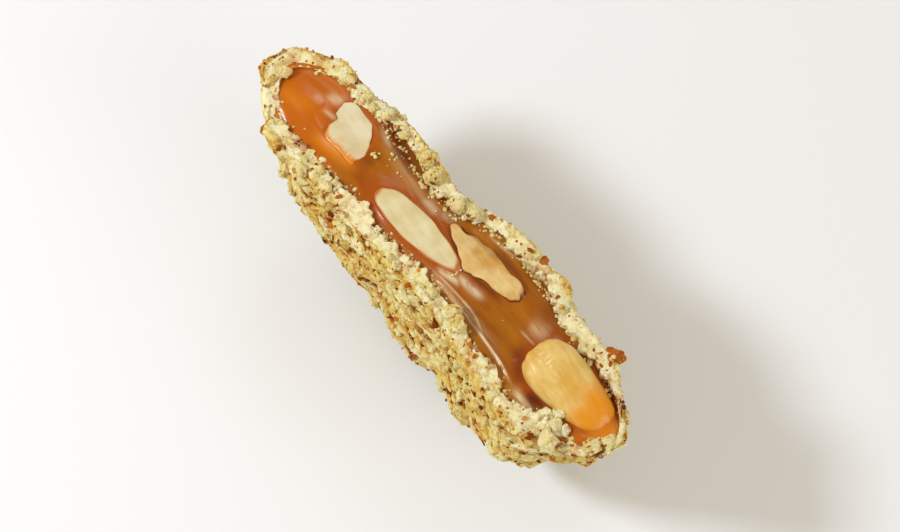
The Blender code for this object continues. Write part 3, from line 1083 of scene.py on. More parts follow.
def template(form: Form) -> tuple[Array, Array]:
    """One crumb of a form, about 1 in radius: a few corners, or a ball of even triangles.

    Args:
        form: The form.

    Returns:
        Its points and triangles.
    """
    if form is Form.GRAIN:
        points = np.array([(1, 0, 0), (-1, 0, 0), (0, 1, 0), (0, -1, 0), (0, 0, 1), (0, 0, -1)], float)
        triangles = [(0, 2, 4), (2, 1, 4), (1, 3, 4), (3, 0, 4), (2, 0, 5), (1, 2, 5), (3, 1, 5), (0, 3, 5)]
        return points, np.array(triangles)
    if form is Form.FLAKE:
        turn = np.arange(6) * math.pi / 3
        ring = np.stack([np.cos(turn), np.sin(turn), 0 * turn], axis=1)
        points = np.vstack([ring, (0, 0, 1), (0, 0, -1)])
        after = (np.arange(6) + 1) % 6
        top = np.stack([np.arange(6), after, np.full(6, 6)], axis=1)
        bottom = np.stack([after, np.arange(6), np.full(6, 7)], axis=1)
        return points, np.vstack([top, bottom])
    maker = bpy.data.meshes.new("template")
    ball = bmesh.new()
    fineness = {Form.CRUMB: 1, Form.CHIP: 2, Form.NUGGET: 3}[form]
    bmesh.ops.create_icosphere(ball, subdivisions=fineness, radius=1)
    ball.to_mesh(maker)
    ball.free()
    points = np.array([vertex.co for vertex in maker.vertices])
    triangles = np.array([polygon.vertices for polygon in maker.polygons])
    bpy.data.meshes.remove(maker)
    return points, triangles


def frames_on(normals: Array, tilt: float, draw: np.random.Generator) -> Array:
    """Matrices whose Z lies near each normal, turned at random about it.

    Args:
        normals: Unit normals.
        tilt: How far Z may lean: 0 not at all, 3 any way.
        draw: Random numbers.

    Returns:
        One 3 by 3 matrix for each normal, with its axes as columns.
    """
    z = normals + tilt * draw.normal(size=normals.shape) / math.sqrt(3)
    z /= np.linalg.norm(z, axis=1, keepdims=True)
    x = np.cross(z, draw.normal(size=z.shape))
    x /= np.linalg.norm(x, axis=1, keepdims=True)
    return np.stack([x, np.cross(z, x), z], axis=2)


def faceted(ways: Array, count: int, planes: int, draw: np.random.Generator) -> Array:
    """Balls cut by random flat planes: each point moves in to the nearest plane on its way.

    Args:
        ways: Unit vectors of the ball's points.
        count: How many balls.
        planes: How many planes cut each one.
        draw: Random numbers.

    Returns:
        Points of each ball.
    """
    facing = draw.normal(size=(count, planes, 3))
    facing /= np.linalg.norm(facing, axis=2, keepdims=True)
    distance = draw.uniform(0.55, 0.9, (count, planes))
    towards = np.einsum("vi,npi->nvp", ways, facing)
    reach = distance[:, None, :] / np.maximum(towards, 1e-3)
    return ways[None] * np.minimum(reach.min(axis=2), 1.0)[:, :, None]


def crumbs_at(
    places: Array,
    frames: Array,
    sizes: Array,
    form: Form,
    draw: np.random.Generator,
    normals: Array | tuple[float, float, float] = (0.0, 0.0, 1.0),
    deep: Array | float = 0.0,
    shade: Array | float = 0.5,
) -> Surface:
    """One surface of many crumbs.

    Args:
        places: Middles of the crumbs.
        frames: Their axes.
        sizes: Half their widths along their axes, one row of three each.
        form: Their form.
        draw: Random numbers.
        normals: Unit normals of the surface that they lie on.
        deep: How deep in the coat each one lies, from 0 to 1.
        shade: The tone that theirs vary about.

    Returns:
        The crumbs, each with a tone of its own and a foot darkened like the deep places: painted shade
        where it meets the coat.
    """
    ways, triangles = template(form)
    count = len(places)
    if form in (Form.CHIP, Form.NUGGET):
        local = faceted(ways, count, 9, draw) * draw.uniform(0.86, 1.0, (count, len(ways), 1))
    else:
        local = ways[None] * draw.uniform(0.72, 1.28, (count, len(ways)))[:, :, None]
    middles = places[:, None, :]
    points = np.einsum("nij,nvj->nvi", frames, local * sizes[:, None, :]) + middles
    if form is Form.NUGGET:
        clods, _ = cobbles(points.reshape(-1, 3), 0.9 * MM, 14)
        points = middles + (points - middles) * (0.84 + 0.24 * clods.reshape(count, -1, 1))
    points = np.clip(points, ROOM[0], ROOM[1])
    faces = triangles[None] + (np.arange(count) * len(ways))[:, None, None]
    tone = np.clip(draw.normal(shade, 0.09, count), 0, 1)
    over = ((points - middles) * np.broadcast_to(normals, places.shape)[:, None, :]).sum(axis=2)
    # A rust foot under each crumb: painted shade where it meets the coat.
    foot_shade = 0.3 if form is Form.NUGGET else 0.6
    foot = np.clip(0.15 - over / sizes.mean(axis=1)[:, None], 0, 1) * foot_shade
    values = {"tone": np.repeat(tone, len(ways)), "deep": np.broadcast_to(deep, count)[:, None] + foot}
    values = {name: np.clip(value, 0, 1).reshape(-1) for name, value in values.items()}
    return Surface(points.reshape(-1, 3), faces.reshape(-1, 3), values)


@dataclass(frozen=True)
class Scatter:
    """One kind of crumb that is strewn over the coat.

    Attributes:
        name: Name of the piece.
        form: Form of one crumb.
        count: How many.
        across_mm: Smallest and largest width.
        finish: Its finish.
        seed: Start of its random draw.
        length: Length as a share of the width.
        flatness: Thickness as a share of the width.
        sunk: Share of its thickness that lies in the coat.
        tilt: How far a crumb leans from the surface.
        clotting: 0 for even, more for patches.
        at_toffee_edge: How many more lie along the toffee's edge.
        in_seams: 0 for everywhere alike, more for the deep places.
        smallness: Power that the draw of the width is raised to: more for more small ones.
    """

    name: str
    form: Form
    count: int
    across_mm: tuple[float, float]
    finish: NutFinish
    seed: int
    length: float = 1.0
    flatness: float = 0.85
    sunk: float = 0.3
    tilt: float = 3.0
    clotting: float = 0.0
    at_toffee_edge: int = 0
    in_seams: float = 0.0
    smallness: float = 1.7

    def build(self, coat: Surface, toffee: "Toffee") -> Surface:
        """Args:
            coat: Surface that it lies on, with how far each point is hidden by the toffee.
            toffee: The toffee, for its edge.

        Returns:
            The crumbs.
        """
        draw = np.random.default_rng(self.seed)
        hidden = coat.values["hidden"][coat.triangles].mean(axis=1)
        weight = 1 - hidden
        middles = coat.points[coat.triangles].mean(axis=1)
        if self.clotting:
            weight = weight * np.exp(self.clotting * lumps(middles, self.seed + 100, 12 * MM, 3 * MM))
        if self.in_seams:
            weight = weight * (0.2 + self.in_seams * coat.values["deep"][coat.triangles[:, 0]])
        weight[middles[:, 2] < 0.3 * MM] = 0
        places, normals, chosen = coat.sampled(self.count, draw, weight)
        deep, shade = (coat.values[name][coat.triangles[chosen, 0]] for name in ("deep", "tone"))
        if self.at_toffee_edge:
            edge_places = toffee.edge_places(self.at_toffee_edge, draw)
            places = np.vstack([places, edge_places])
            normals = np.vstack([normals, np.tile((0.0, 0.0, 1.0), (len(edge_places), 1))])
            # Crumbs along the toffee's edge take some rust: painted warm shade.
            deep = np.concatenate([deep, np.full(len(edge_places), 0.3)])
            shade = np.concatenate([shade, np.full(len(edge_places), 0.75)])
        low, high = (width * MM / 2 for width in self.across_mm)
        half = low + (high - low) * draw.random(len(places)) ** self.smallness
        long, wide = math.sqrt(self.length), 1 / math.sqrt(self.length)
        stretch = draw.uniform(0.75, 1.15, (len(places), 3)) * (long, wide, self.flatness)
        frames = frames_on(normals, self.tilt, draw)
        middle = places + normals * (half * self.flatness * (1 - 2 * self.sunk))[:, None]
        sizes = half[:, None] * stretch
        crumbs = crumbs_at(middle, frames, sizes, self.form, draw, normals, deep, shade)
        soft = self.form is Form.CRUMB
        place_piece(crumbs.to_object(self.name, self.finish.material(), soft), "ground_almond", "coat")
        return crumbs


@dataclass
class ChoppedBits:
    """The chopped bits that the coat's solid holds, drawn again in the same places, with more faces.

    Attributes:
        patty: The form that they lie on.
        skin_bits: How many lie on the outside.
        rim_bits: How many lie on the cut edge.
        radius: Smallest and largest radius.
        sunk: Share of the radius that lies in the coat.
        chunks_mm: Larger chunks on the cut edge: X, Y, depth under the cut, and radius.
        lump_mm: Crumbs of the lump near the +X end, in the same way.
    """

    patty: Patty = PATTY
    skin_bits: int = 128
    rim_bits: int = 30
    radius: tuple[float, float] = (0.9 * MM, 1.9 * MM)
    sunk: float = 0.45
    chunks_mm: tuple[tuple[float, float, float, float], ...] = (
        (-15, 7.8, 0.5, 2.0),
        (31.5, 11.0, 1.0, 2.3),
        (36.5, -7.2, 0.4, 2.4),
    )
    lump_mm: tuple[tuple[float, float, float, float], ...] = (
        (31.6, -4.6, 0.2, 1.3),
        (32.8, -3.0, -0.1, 1.2),
        (34.0, -4.6, -0.2, 1.4),
        (32.0, -2.6, 0.3, 0.8),
        (31.0, -6.0, 0.4, 1.2),
        (35.4, -3.8, 0.4, 1.1),
        (33.0, -5.9, 0.1, 1.3),
    )

    def random_ways(self, draw: np.random.Generator, count: int) -> Array:
        """Unit vectors spread evenly over a ball."""
        ways = draw.normal(size=(count, 3))
        return ways / np.linalg.norm(ways, axis=1, keepdims=True)

    def on_patty(self, ways: Array, inset: Array) -> Array:
        """Points of the patty's face for unit vectors: the tilt gives the way from the middle.

        Args:
            ways: Unit vectors.
            inset: Share of the coat's thickness that each point lies inside.

        Returns:
            One point for each vector.
        """
        turn = np.arctan2(ways[:, 2], ways[:, 0])
        reach = self.patty.rim(turn, inset) + self.patty.bow(inset) * (math.pi / 2 - 1)
        return self.patty.face(turn, np.sqrt(1 - np.abs(ways[:, 1])) * reach, np.sign(ways[:, 1]), inset)

    def places(self, draw: np.random.Generator) -> tuple[Array, Array]:
        """Picks places for the bits: on the outside, on the cut edge, then the larger chunks.

        Args:
            draw: Random numbers.

        Returns:
            The bits' middles and radii.
        """
        cut_z = self.patty.cut_z
        tries = 12 * self.skin_bits
        skin = self.on_patty(self.random_ways(draw, tries), np.zeros(tries))
        keep = (skin[:, 2] < cut_z - 0.5 * MM) & (skin[:, 2] > 1.0 * MM)
        tries = 300 * self.rim_bits
        share = draw.uniform(0.2, 0.8, tries)
        rim = self.on_patty(self.random_ways(draw, tries), share)
        level = np.abs(rim[:, 2] - cut_z) < 0.3 * MM
        found = np.vstack([skin[keep][: self.skin_bits], rim[level][: self.rim_bits]])
        low, high = self.radius
        radii = low + (high - low) * draw.random(len(found)) ** 2
        chunks = np.array(self.chunks_mm) * MM
        return (
            np.vstack([found, chunks[:, :3] * (1, 1, -1) + (0, 0, cut_z)]),
            np.concatenate([radii, chunks[:, 3]]),
        )

    def build(self) -> Surface:
        """Returns:
            One surface that holds them all.
        """
        draw = np.random.default_rng(self.patty.seed)
        places, radii = self.places(draw)
        drawn = draw.random((len(places), 6))
        stretch = 0.7 + 0.55 * drawn[:, :3]
        frames = np.array([Euler(turns).to_matrix() for turns in 2 * math.pi * drawn[:, 3:]])
        inward = (np.array((0, 0, self.patty.centre_z)) - places) * (1, 2, 1)
        inward /= np.linalg.norm(inward, axis=1, keepdims=True)
        centres = places + inward * (radii * (self.sunk + 0.15))[:, None]
        sizes = radii[:, None] * stretch * 0.95
        skinned = len(places) - 2
        sizes[skinned] *= 0.85
        lump = np.array(self.lump_mm) * MM
        centres = np.vstack([centres, lump[:, :3] * (1, 1, -1) + (0, 0, self.patty.cut_z)])
        inward = np.vstack([inward, np.tile((0.0, 0.0, -1.0), (len(lump), 1))])
        frames = np.concatenate([frames, frames[: len(lump)]])
        sizes = np.vstack([sizes, lump[:, 3:] * (1, 1, 1)])
        number = np.arange(len(centres))
        brown = number == skinned
        # The lump's crumbs are paler: painted light that lifts them out of the whole almond's shade.
        shade = np.where(number < len(places), 0.5, 0.9)
        made = []
        kinds = (("chopped_bits", CHOPPED_ALMOND, ~brown), ("skinned_bit", RUSTY_SKIN, brown))
        for name, finish, chosen in kinds:
            held = (centres[chosen], frames[chosen], sizes[chosen], Form.NUGGET, draw, -inward[chosen])
            made.append(crumbs_at(*held, shade=shade[chosen]))
            place_piece(made[-1].to_object(name, finish.material(), False), "ground_almond", "coat")
        return joined(made)


# ---------------------------------------------------------------- almonds


@dataclass(frozen=True)
class Almond:
    """One almond in the cut.

    Attributes:
        node: The solid that it stands for.
        size_mm: Length, width and depth.
        taper: How much it narrows to its tip.
        boxiness: 1 for an ellipsoid, less for squarer.
        centre_mm: Middle along X and Y, and its depth under the cut.
        turns: Turns about X, Y and Z in degrees.
        face_mm: Height of its cut face over the cut, or nothing for a whole almond.
        slot: Material slot of its solid.
        finish: Its finish.
        chamfers: Planes that trim it: a direction in its own frame and a share of its half size.
        ripple_mm: Height of its ripples.
        climb_mm: How far the toffee climbs up it, over the toffee's level at its cut face.
        spread_mm: How far out from it that climb reaches.
        film: Where a film of toffee lies on it.
        painted_glints_mm: Middle and half widths of a patch of painted glints, pale highlight specks on it,
            or nothing.
        lean: Shift along its length for each step across it.
        belly_mm: A bulge of its near side: place along its length, height and half length.
        patty: The form that it sits in.
        rows: Grid lines from its one end to the other.
        columns: Grid lines round it.
    """

    node: str
    size_mm: tuple[float, float, float]
    taper: float
    boxiness: float
    centre_mm: tuple[float, float, float]
    turns: tuple[float, float, float]
    face_mm: float | None
    slot: str
    finish: AlmondFinish
    chamfers: tuple[tuple[tuple[float, float, float], float], ...] = ()
    ripple_mm: float = 0.10
    climb_mm: float = 0.68
    spread_mm: float = 0.75
    film: Callable[[Array, Array], Array] | None = None
    painted_glints_mm: tuple[float, float, float, float] | None = None
    lean: float = 0.0
    belly_mm: tuple[float, float, float] = (0.0, 0.0, 1.0)
    patty: Patty = PATTY
    rows: int = 120
    columns: int = 128

    @property
    def turn(self) -> Array:
        """Its turn, as a matrix."""
        return np.array(Euler([math.radians(angle) for angle in self.turns]).to_matrix())

    def belly(self, along: Array) -> Array:
        """Height of the bulge of its near side at a place along it: a bell curve."""
        at, height, half = (value * MM for value in self.belly_mm)
        return height * np.exp(-(((along - at) / half) ** 2))

    def footprint(self, x: Array, y: Array) -> Array:
        """Way outside its outline in the cut: a superellipse's level less 1, times its half width.

        Args:
            x: Places along the cut.
            y: Places across the cut.

        Returns:
            The way, in metres, negative inside.
        """
        turn = math.radians(self.turns[2])
        dx, dy = x - self.centre_mm[0] * MM, y - self.centre_mm[1] * MM
        across = dy * math.cos(turn) - dx * math.sin(turn)
        along = dx * math.cos(turn) + dy * math.sin(turn) - self.lean * across
        share = along / (self.size_mm[0] / 2 * MM)
        width = self.size_mm[1] / 2 * MM * (1 - self.taper * np.clip(share, -1, 1))
        width = width + self.belly(along) * (across < 0)
        power = 2 / self.boxiness
        level = (np.abs(share) ** power + np.abs(across / width) ** power) ** (1 / power)
        return (level - 1) * width

    def build(self) -> None:
        """The form is a superellipsoid that narrows to its tip. Planes trim it, waves ripple it, and
        above its cut face each point comes down to the face over a small rounded edge.
        """
        polar = np.linspace(0, math.pi, self.rows)[:, None]
        round_it = np.linspace(0, 2 * math.pi, self.columns, endpoint=False)[None, :]
        ring = np.sin(polar)
        ways = np.broadcast_arrays(-np.cos(polar), ring * np.cos(round_it), ring * np.sin(round_it))
        ways = np.stack(ways, -1)
        ways[0], ways[-1] = (-1, 0, 0), (1, 0, 0)
        half = np.array(self.size_mm) * MM / 2
        bent = np.sign(ways) * np.abs(ways) ** self.boxiness
        narrowing = 1 - self.taper * (bent[..., :1] + 0.15)
        local = bent * half * np.concatenate([np.ones_like(narrowing), narrowing, narrowing], axis=-1)
        for way, share in self.chamfers:
            unit = np.array(way) / np.linalg.norm(way)
            reach = local @ unit / (share * np.abs(half * unit).sum())
            local = local / np.maximum(1, reach)[..., None]
        local[..., 1] -= self.belly(local[..., 0]) * np.clip(-local[..., 1] / half[1], 0, 1)
        local[..., 0] += self.lean * local[..., 1]
        surface = Surface.from_grid(local, closed=True).outward()
        ripple = lumps(surface.points * (0.35, 1, 1), 50 + len(self.node), 3.2 * MM, 1.1 * MM)
        surface.points = surface.points + surface.normals() * (self.ripple_mm * MM * ripple)[:, None]
        x, y, depth = (value * MM for value in self.centre_mm)
        placed = surface.points @ self.turn.T + np.array((x, y, self.patty.cut_z - depth))
        rim = np.zeros(len(placed))
        if self.face_mm is not None:
            soft = 0.16 * MM
            uneven = lumps(placed * (0.3, 1, 0), 60 + len(self.node), 5 * MM, 1.6 * MM)
            uneven = uneven * 0.05 * MM
            level = self.patty.cut_z + self.face_mm * MM + uneven
            above = placed[:, 2] - level
            rim = np.exp(-((above / (0.35 * MM)) ** 2))
            placed[:, 2] = level - soft * np.logaddexp(0, -above / soft)
        surface.points = placed
        film = self.film(placed[:, 0], placed[:, 1]) if self.film else np.zeros(len(placed))
        brink = self.patty.cut_z
        brink = brink + (self.face_mm * MM - 0.12 * MM if self.face_mm is not None else -0.2 * MM)
        below = smooth_step(brink - placed[:, 2], 0, 0.35 * MM)
        film = np.clip(np.maximum(film, below), 0, 1)
        # Its rim, its toffee film, and painted glints: pale highlight specks.
        surface.values = {"rim": rim, "film": film, "froth": self.froth(placed)}
        place_piece(surface.to_object(self.node + "_kernel", self.finish.material()), self.slot, self.node)

    def froth(self, points: Array) -> Array:
        """Painted glints: pale highlight specks at the peaks of fine waves, under a bell curve round the
        middle of their patch.

        Args:
            points: Points of the almond.

        Returns:
            How pale each point is, from 0 to 1.
        """
        if self.painted_glints_mm is None:
            return np.zeros(len(points))
        x, y, wide_x, wide_y = self.painted_glints_mm
        bell = np.exp(-(((points[:, 0] / MM - x) / wide_x) ** 2) - ((points[:, 1] / MM - y) / wide_y) ** 2)
        return 0.6 * smooth_step(lumps(points, 73, 0.8 * MM, 0.3 * MM) * bell, 0.5, 1.1)


def whole_film(x: Array, y: Array) -> Array:
    """Toffee film on the whole almond: over its +X end, longer on the far side.

    Args:
        x: Places along the cut.
        y: Places across the cut.

    Returns:
        Share of the film at each place, from 0 to 1.
    """
    places = np.stack([x, y, 0 * x], axis=-1)
    waver = lumps(places, 71, 7 * MM, 2.5 * MM) * 0.5 * MM
    return 0.95 * smooth_step(x + 0.45 * y + waver, 31.5 * MM, 37.5 * MM)


def half_film(x: Array, y: Array) -> Array:
    """Roasted tan on the half almond: a band along half its far edge, and a long patch in its middle.

    Args:
        x: Places along the cut.
        y: Places across the cut.

    Returns:
        Share of the film at each place, from 0 to 1.
    """
    band = 0.4 * smooth_step(y - 0.06 * x, 4.1 * MM, 4.8 * MM)
    band = band * smooth_step(-x, -9 * MM, -5 * MM)
    patch = 0.24 * np.exp(-(((x - 2.4 * MM) / (4.2 * MM)) ** 2) - ((y - 3.2 * MM) / (0.8 * MM)) ** 2)
    return np.maximum(band, patch)


def block_film(x: Array, y: Array) -> Array:
    """Toffee film on the almond block: drawn up its near side in streaks.

    Args:
        x: Places along the cut.
        y: Places across the cut.

    Returns:
        Share of the film at each place, from 0 to 1.
    """
    places = np.stack([x, y, 0 * x], axis=-1)
    streaks = lumps(places * (1, 0.3, 0), 72, 1.6 * MM, 0.5 * MM) * 0.16 * MM
    return 0.95 * smooth_step(-y + 0.16 * (x + 25 * MM) + streaks, 2.3 * MM, 3.6 * MM)


ALMONDS = (
    # A chunk of blanched almond with fresh cuts: pale and waxy, with toffee drawn up its near side.
    Almond(
        "almond_block", (8.6, 7.5, 8.4), 0.0, 0.46, (-25.7, 0.15, 2.2), (8, 0, 0), 0.45, "almond_flesh",
        AlmondFinish("cut_almond_block", "D8D0B6", "CCBE96", film="D88410", turn=-16),
        (((1, 0.9, 0), 0.70),), 0.12, spread_mm=4.0, film=block_film, lean=-0.34,
    ),
    # An almond cut lengthwise with the toffee: the palest and smoothest flesh, with a tanned rim.
    Almond(
        "almond_slice", (20.4, 5.9, 8.6), 0.16, 0.95, (-5.5, -1.5, 1.5), (0, 0, 5.5), 0.25, "almond_flesh",
        AlmondFinish("cut_almond_slice", "D6D0AC", "CCBE8E", film="B04C06", rim="B8641A", turn=5.5),
        ripple_mm=0.07, climb_mm=0.45,
    ),
    # A roasted almond, cut thin: tan flesh, browner along its far edge.
    Almond(
        "almond_half", (17.2, 4.2, 7.6), -0.22, 0.84, (5.3, 3.5, 1.3), (0, 3, 4), 0.40, "roasted_almond",
        AlmondFinish("roasted_almond_half", "DCC48A", "C69A4E", film="6E2E08", rim="CFA866", turn=4),
        (((0, 1, 0), 0.86),), 0.2, climb_mm=0.25, film=half_film, belly_mm=(-1.2, 1.3, 2.3),
    ),
    # A whole blanched almond, roasted: golden and satin, with a wet film of toffee on its one end,
    # and painted glints, pale highlight specks, near the other.
    Almond(
        "almond_whole", (18.0, 9.3, 7.4), 0.18, 0.70, (30.6, 1.4, 1.3), (6, 8, 4), None, "roasted_almond",
        AlmondFinish("blanched_almond", "DEC57E", "D2A84E", film="DE9000", turn=4, roughness=0.4),
        ripple_mm=0.05, climb_mm=0.34, film=whole_film, painted_glints_mm=(25.0, 0.3, 1.9, 1.2),
    ),
)


# ---------------------------------------------------------------- the toffee


@dataclass(frozen=True)
class Patch:
    """An oval zone of the toffee, strongest in its middle.

    Attributes:
        x_mm: Its middle along the cut.
        y_mm: Its middle across the cut.
        long_mm: Half its length.
        wide_mm: Half its width.
        turn: Turn of its length from +X, in degrees.
        strength: Share in the middle, from 0 to 1.
    """

    x_mm: float
    y_mm: float
    long_mm: float
    wide_mm: float
    turn: float
    strength: float

    def share(self, x: Array, y: Array) -> Array:
        """The patch's strength at each place: a bell curve of the way along and across it.

        Args:
            x: Places along the cut.
            y: Places across the cut.

        Returns:
            The strength at each place.
        """
        turn = math.radians(self.turn)
        dx, dy = x / MM - self.x_mm, y / MM - self.y_mm
        along = (dx * math.cos(turn) + dy * math.sin(turn)) / self.long_mm
        across = (dy * math.cos(turn) - dx * math.sin(turn)) / self.wide_mm
        return self.strength * np.exp(-(along**4) - across**2)


@dataclass
class Toffee:
    """The toffee that fills the coat: a glossy, drawn surface in the cut over a plain bowl.

    Attributes:
        patty: The form that it fills.
        almonds: The almonds that it climbs.
        rows: Grid lines along the cut.
        top_columns: Grid lines across the cut.
        bowl_columns: Grid lines from the cut to the keel, on each side.
        inset: Where its edge lies in the coat: 0 is the outside and 1 the coat's inner edge.
        pit_mm: Middle of the pit beside the whole almond.
        pit_half_mm: Its half length and half width.
        pit_light_mm: Light through the floor of the pit: middle and half widths.
        dome_mm: Dome near the -X end: middle and half widths.
        hollow_mm: Hollow in the middle of the cut, in the same way.
        bubble_mm: Flat bubble beyond the half almond, in the same way.
        trough_mm: Trough along the far edge at the +X end: middle and half length along X, and
            middle and half width from the edge.
        fold_x_mm: Where the fold beside the almond block ends, along the cut.
        glow_at_almonds: Strength of the glow round each almond.
        blush_at_almonds: Strength of the darker red rim round each almond.
        near_lip_mm: Line of the drawn lip along the near edge, as X and Y.
        inner_lip_mm: Line of the second lip, inside the first.
        milky: Patches of painted sheen and highlight.
        dark: Patches of painted shade, over some darker toffee.
        bright: Thin patches that the light comes through.
    """

    patty: Patty = PATTY
    almonds: tuple[Almond, ...] = ALMONDS
    rows: int = 560
    top_columns: int = 150
    bowl_columns: int = 14
    inset: float = 0.60
    pit_mm: tuple[float, float] = (28.8, -4.5)
    pit_half_mm: tuple[float, float] = (2.3, 1.0)
    pit_light_mm: tuple[float, float, float, float] = (29.9, -4.6, 0.9, 0.45)
    dome_mm: tuple[float, float, float, float] = (-35.0, -2.5, 5.5, 5.0)
    hollow_mm: tuple[float, float, float, float] = (13.0, -0.5, 8.0, 3.0)
    bubble_mm: tuple[float, float, float, float] = (18.9, 3.5, 2.9, 2.2)
    trough_mm: tuple[float, float, float, float] = (36.3, 4.2, 0.9, 0.8)
    fold_x_mm: float = -30.8
    glow_at_almonds: tuple[float, ...] = (0.9, 0.85, 0.3, 0.8)
    blush_at_almonds: tuple[float, ...] = (0.35, 0.55, 0.0, 0.85)
    near_lip_mm: tuple[tuple[float, float], ...] = (
        (-2, -4.7), (4, -4.0), (8, -3.85), (12, -3.9), (16, -4.1),
        (20, -4.5), (24, -5.2), (28, -5.8), (32, -6.2),
    )
    inner_lip_mm: tuple[tuple[float, float], ...] = (
        (-2, -3.9), (2.5, -3.3), (6, -3.0), (9, -2.8), (11.5, -2.9), (14, -3.5), (18, -4.1), (22, -4.8),
    )
    # Painted sheen and highlights: pale patches on the lips, slopes and bubble of the glossy toffee.
    milky: tuple[Patch, ...] = (
        Patch(7.0, -0.8, 2.6, 0.65, 10, 0.95),
        Patch(3.6, -2.4, 2.2, 0.6, 20, 0.9),
        Patch(28.2, -6.05, 3.0, 0.62, -6, 0.95),
        Patch(-33.7, -0.6, 0.9, 0.6, 0, 0.4),
        Patch(-32.0, 1.5, 1.5, 1.0, 30, 0.55),
        Patch(-30.3, -1.0, 1.3, 0.4, 15, 0.55),
        Patch(-21.8, 3.9, 2.0, 0.5, -10, 0.5),
        Patch(-8.0, 2.6, 1.8, 0.9, 0, 0.5),
        Patch(-4.7, 4.0, 1.4, 0.8, 20, 0.5),
        Patch(19.6, 3.4, 1.7, 1.4, 30, 0.45),
        Patch(19.4, 1.3, 1.5, 0.22, 5, 0.5),
        Patch(4.8, 7.6, 2.6, 0.3, 12, 0.6),
    )
    # Mostly painted shade: under the coat's far edge, in gaps between almonds and in grooves, over some
    # darker toffee.
    dark: tuple[Patch, ...] = (
        Patch(-19.5, 5.0, 5.0, 1.4, -8, 0.85),
        Patch(0.7, 1.3, 3.8, 0.6, -20, 0.85),
        Patch(8.5, 1.2, 3.6, 0.5, 10, 0.7),
        Patch(36.3, 5.2, 4.2, 0.7, -20, 0.9),
        Patch(20.5, 7.2, 3.6, 1.2, 0, 0.45),
        Patch(22.2, -2.6, 3.4, 1.1, -40, 0.55),
        Patch(8.0, 6.7, 3.2, 0.7, 0, 0.6),
        Patch(-20.5, -0.9, 1.6, 1.2, 0, 0.45),
    )
    bright: tuple[Patch, ...] = (
        Patch(-24.8, -4.2, 4.2, 0.9, 8, 0.9),
        Patch(-36.0, -3.6, 3.4, 1.6, 20, 0.35),
        Patch(39.5, 0.8, 1.8, 2.8, 0, 0.7),
    )

    def height(self, x: Array, y: Array) -> Array:
        """Height of the surface over its mean level: lips, streaks, hollows, domes and menisci.

        Each feature is a bell curve of the way from an edge, a line or a point, in millimetres.

        Args:
            x: Places along the cut.
            y: Places across the cut.

        Returns:
            The height at each place, in metres.
        """
        from_near, from_far = (y - self.patty.near(x)) / MM, (self.patty.far(x) - y) / MM
        x_mm, y_mm = x / MM, y / MM
        places = np.stack([x, y, 0 * x], axis=-1).reshape(-1, 3)

        def ridge(distance: Array, at: Array | float, width: float) -> Array:
            """A bell curve of the distance, with its peak at one value."""
            return np.exp(-(((distance - at) / width) ** 2))

        def bump(at_x: float, at_y: float, wide_x: float, wide_y: float) -> Array:
            """A bell curve round a point, with its own half width each way."""
            return np.exp(-(((x_mm - at_x) / wide_x) ** 2) - ((y_mm - at_y) / wide_y) ** 2)

        wander = lumps(places * (1, 0.3, 0), 81, 14 * MM, 6 * MM).reshape(x.shape) * 0.3
        drawn = lumps(places * (0.22, 1, 0), 82, 3.2 * MM, 1.2 * MM).reshape(x.shape)
        slow = lumps(places * (0.6, 1, 0), 83, 12 * MM, 5 * MM).reshape(x.shape)
        lip_y, inner_y = (self.patty.edge(x, knots) / MM for knots in (self.near_lip_mm, self.inner_lip_mm))
        outer = 0.34 * ridge(y_mm, lip_y, 0.42) * smooth_step(x_mm, 1.5, 5.0)
        inner = 0.30 * ridge(y_mm, inner_y, 0.38) * smooth_step(x_mm, 0.5, 4.0)
        lip = outer * smooth_step(-x_mm, -25.0, -20.0) + inner * smooth_step(-x_mm, -16.0, -12.5)
        far_lip = 0.20 * ridge(from_far + wander, 1.5, 0.45) + 0.10 * ridge(from_far - wander, 2.8, 0.36)
        far_lip = far_lip * ridge(x_mm, -13, 9) + 0.2 * ridge(from_far, 1.1, 0.3) * ridge(x_mm, 5, 7)
        at_x, at_y, wide_x, wide_y = self.bubble_mm
        reach = np.hypot((x_mm - at_x) / wide_x, (y_mm - at_y) / wide_y)
        bubble = 0.2 * np.clip(1 - reach**2, 0, 1) ** 1.2 + 0.04 * ridge(reach, 0.98, 0.1)
        pit = self.in_pit(x, y)
        at_x, wide_x, at_far, wide_far = self.trough_mm
        trough = np.exp(-(((x_mm - at_x) / wide_x) ** 4) - ((from_far - at_far) / wide_far) ** 2)
        height = (
            lip
            + far_lip
            + 0.9 * bump(*self.dome_mm)
            + bubble
            - 0.7 * bump(*self.hollow_mm)
            - 1.4 * np.exp(-(pit**4))
            - 0.5 * (1 - smooth_step(from_near, 0.2, 2.8)) * ridge(x_mm, 28.5, 3.5)
            + 0.9 * smooth_step(x_mm, 35.0, 38.5)
            - 1.3 * trough
            + 0.03 * drawn
            + 0.08 * slow
        )
        for almond in self.almonds:
            outside = np.maximum(almond.footprint(x, y), 0) / MM
            climb = (almond.face_mm or 0) + almond.climb_mm
            height = height * (1 - 0.8 * np.exp(-outside / 0.5))
            height = height + climb * np.exp(-outside / almond.spread_mm)
        fold_edge = self.fold_x_mm + 2.3 * smooth_step(-y_mm, -0.6, 0.5)
        fold = smooth_step(fold_edge - x_mm, -0.1, 0.6) * smooth_step(x_mm, -37, -31.5)
        fold = fold * ridge(y_mm, -1.3, 3.6)
        fall = 0.35 * np.exp(-np.maximum(np.minimum(from_near, from_far), 0) / 0.5)
        return (np.maximum(height, 1.6 * fold) - fall) * MM

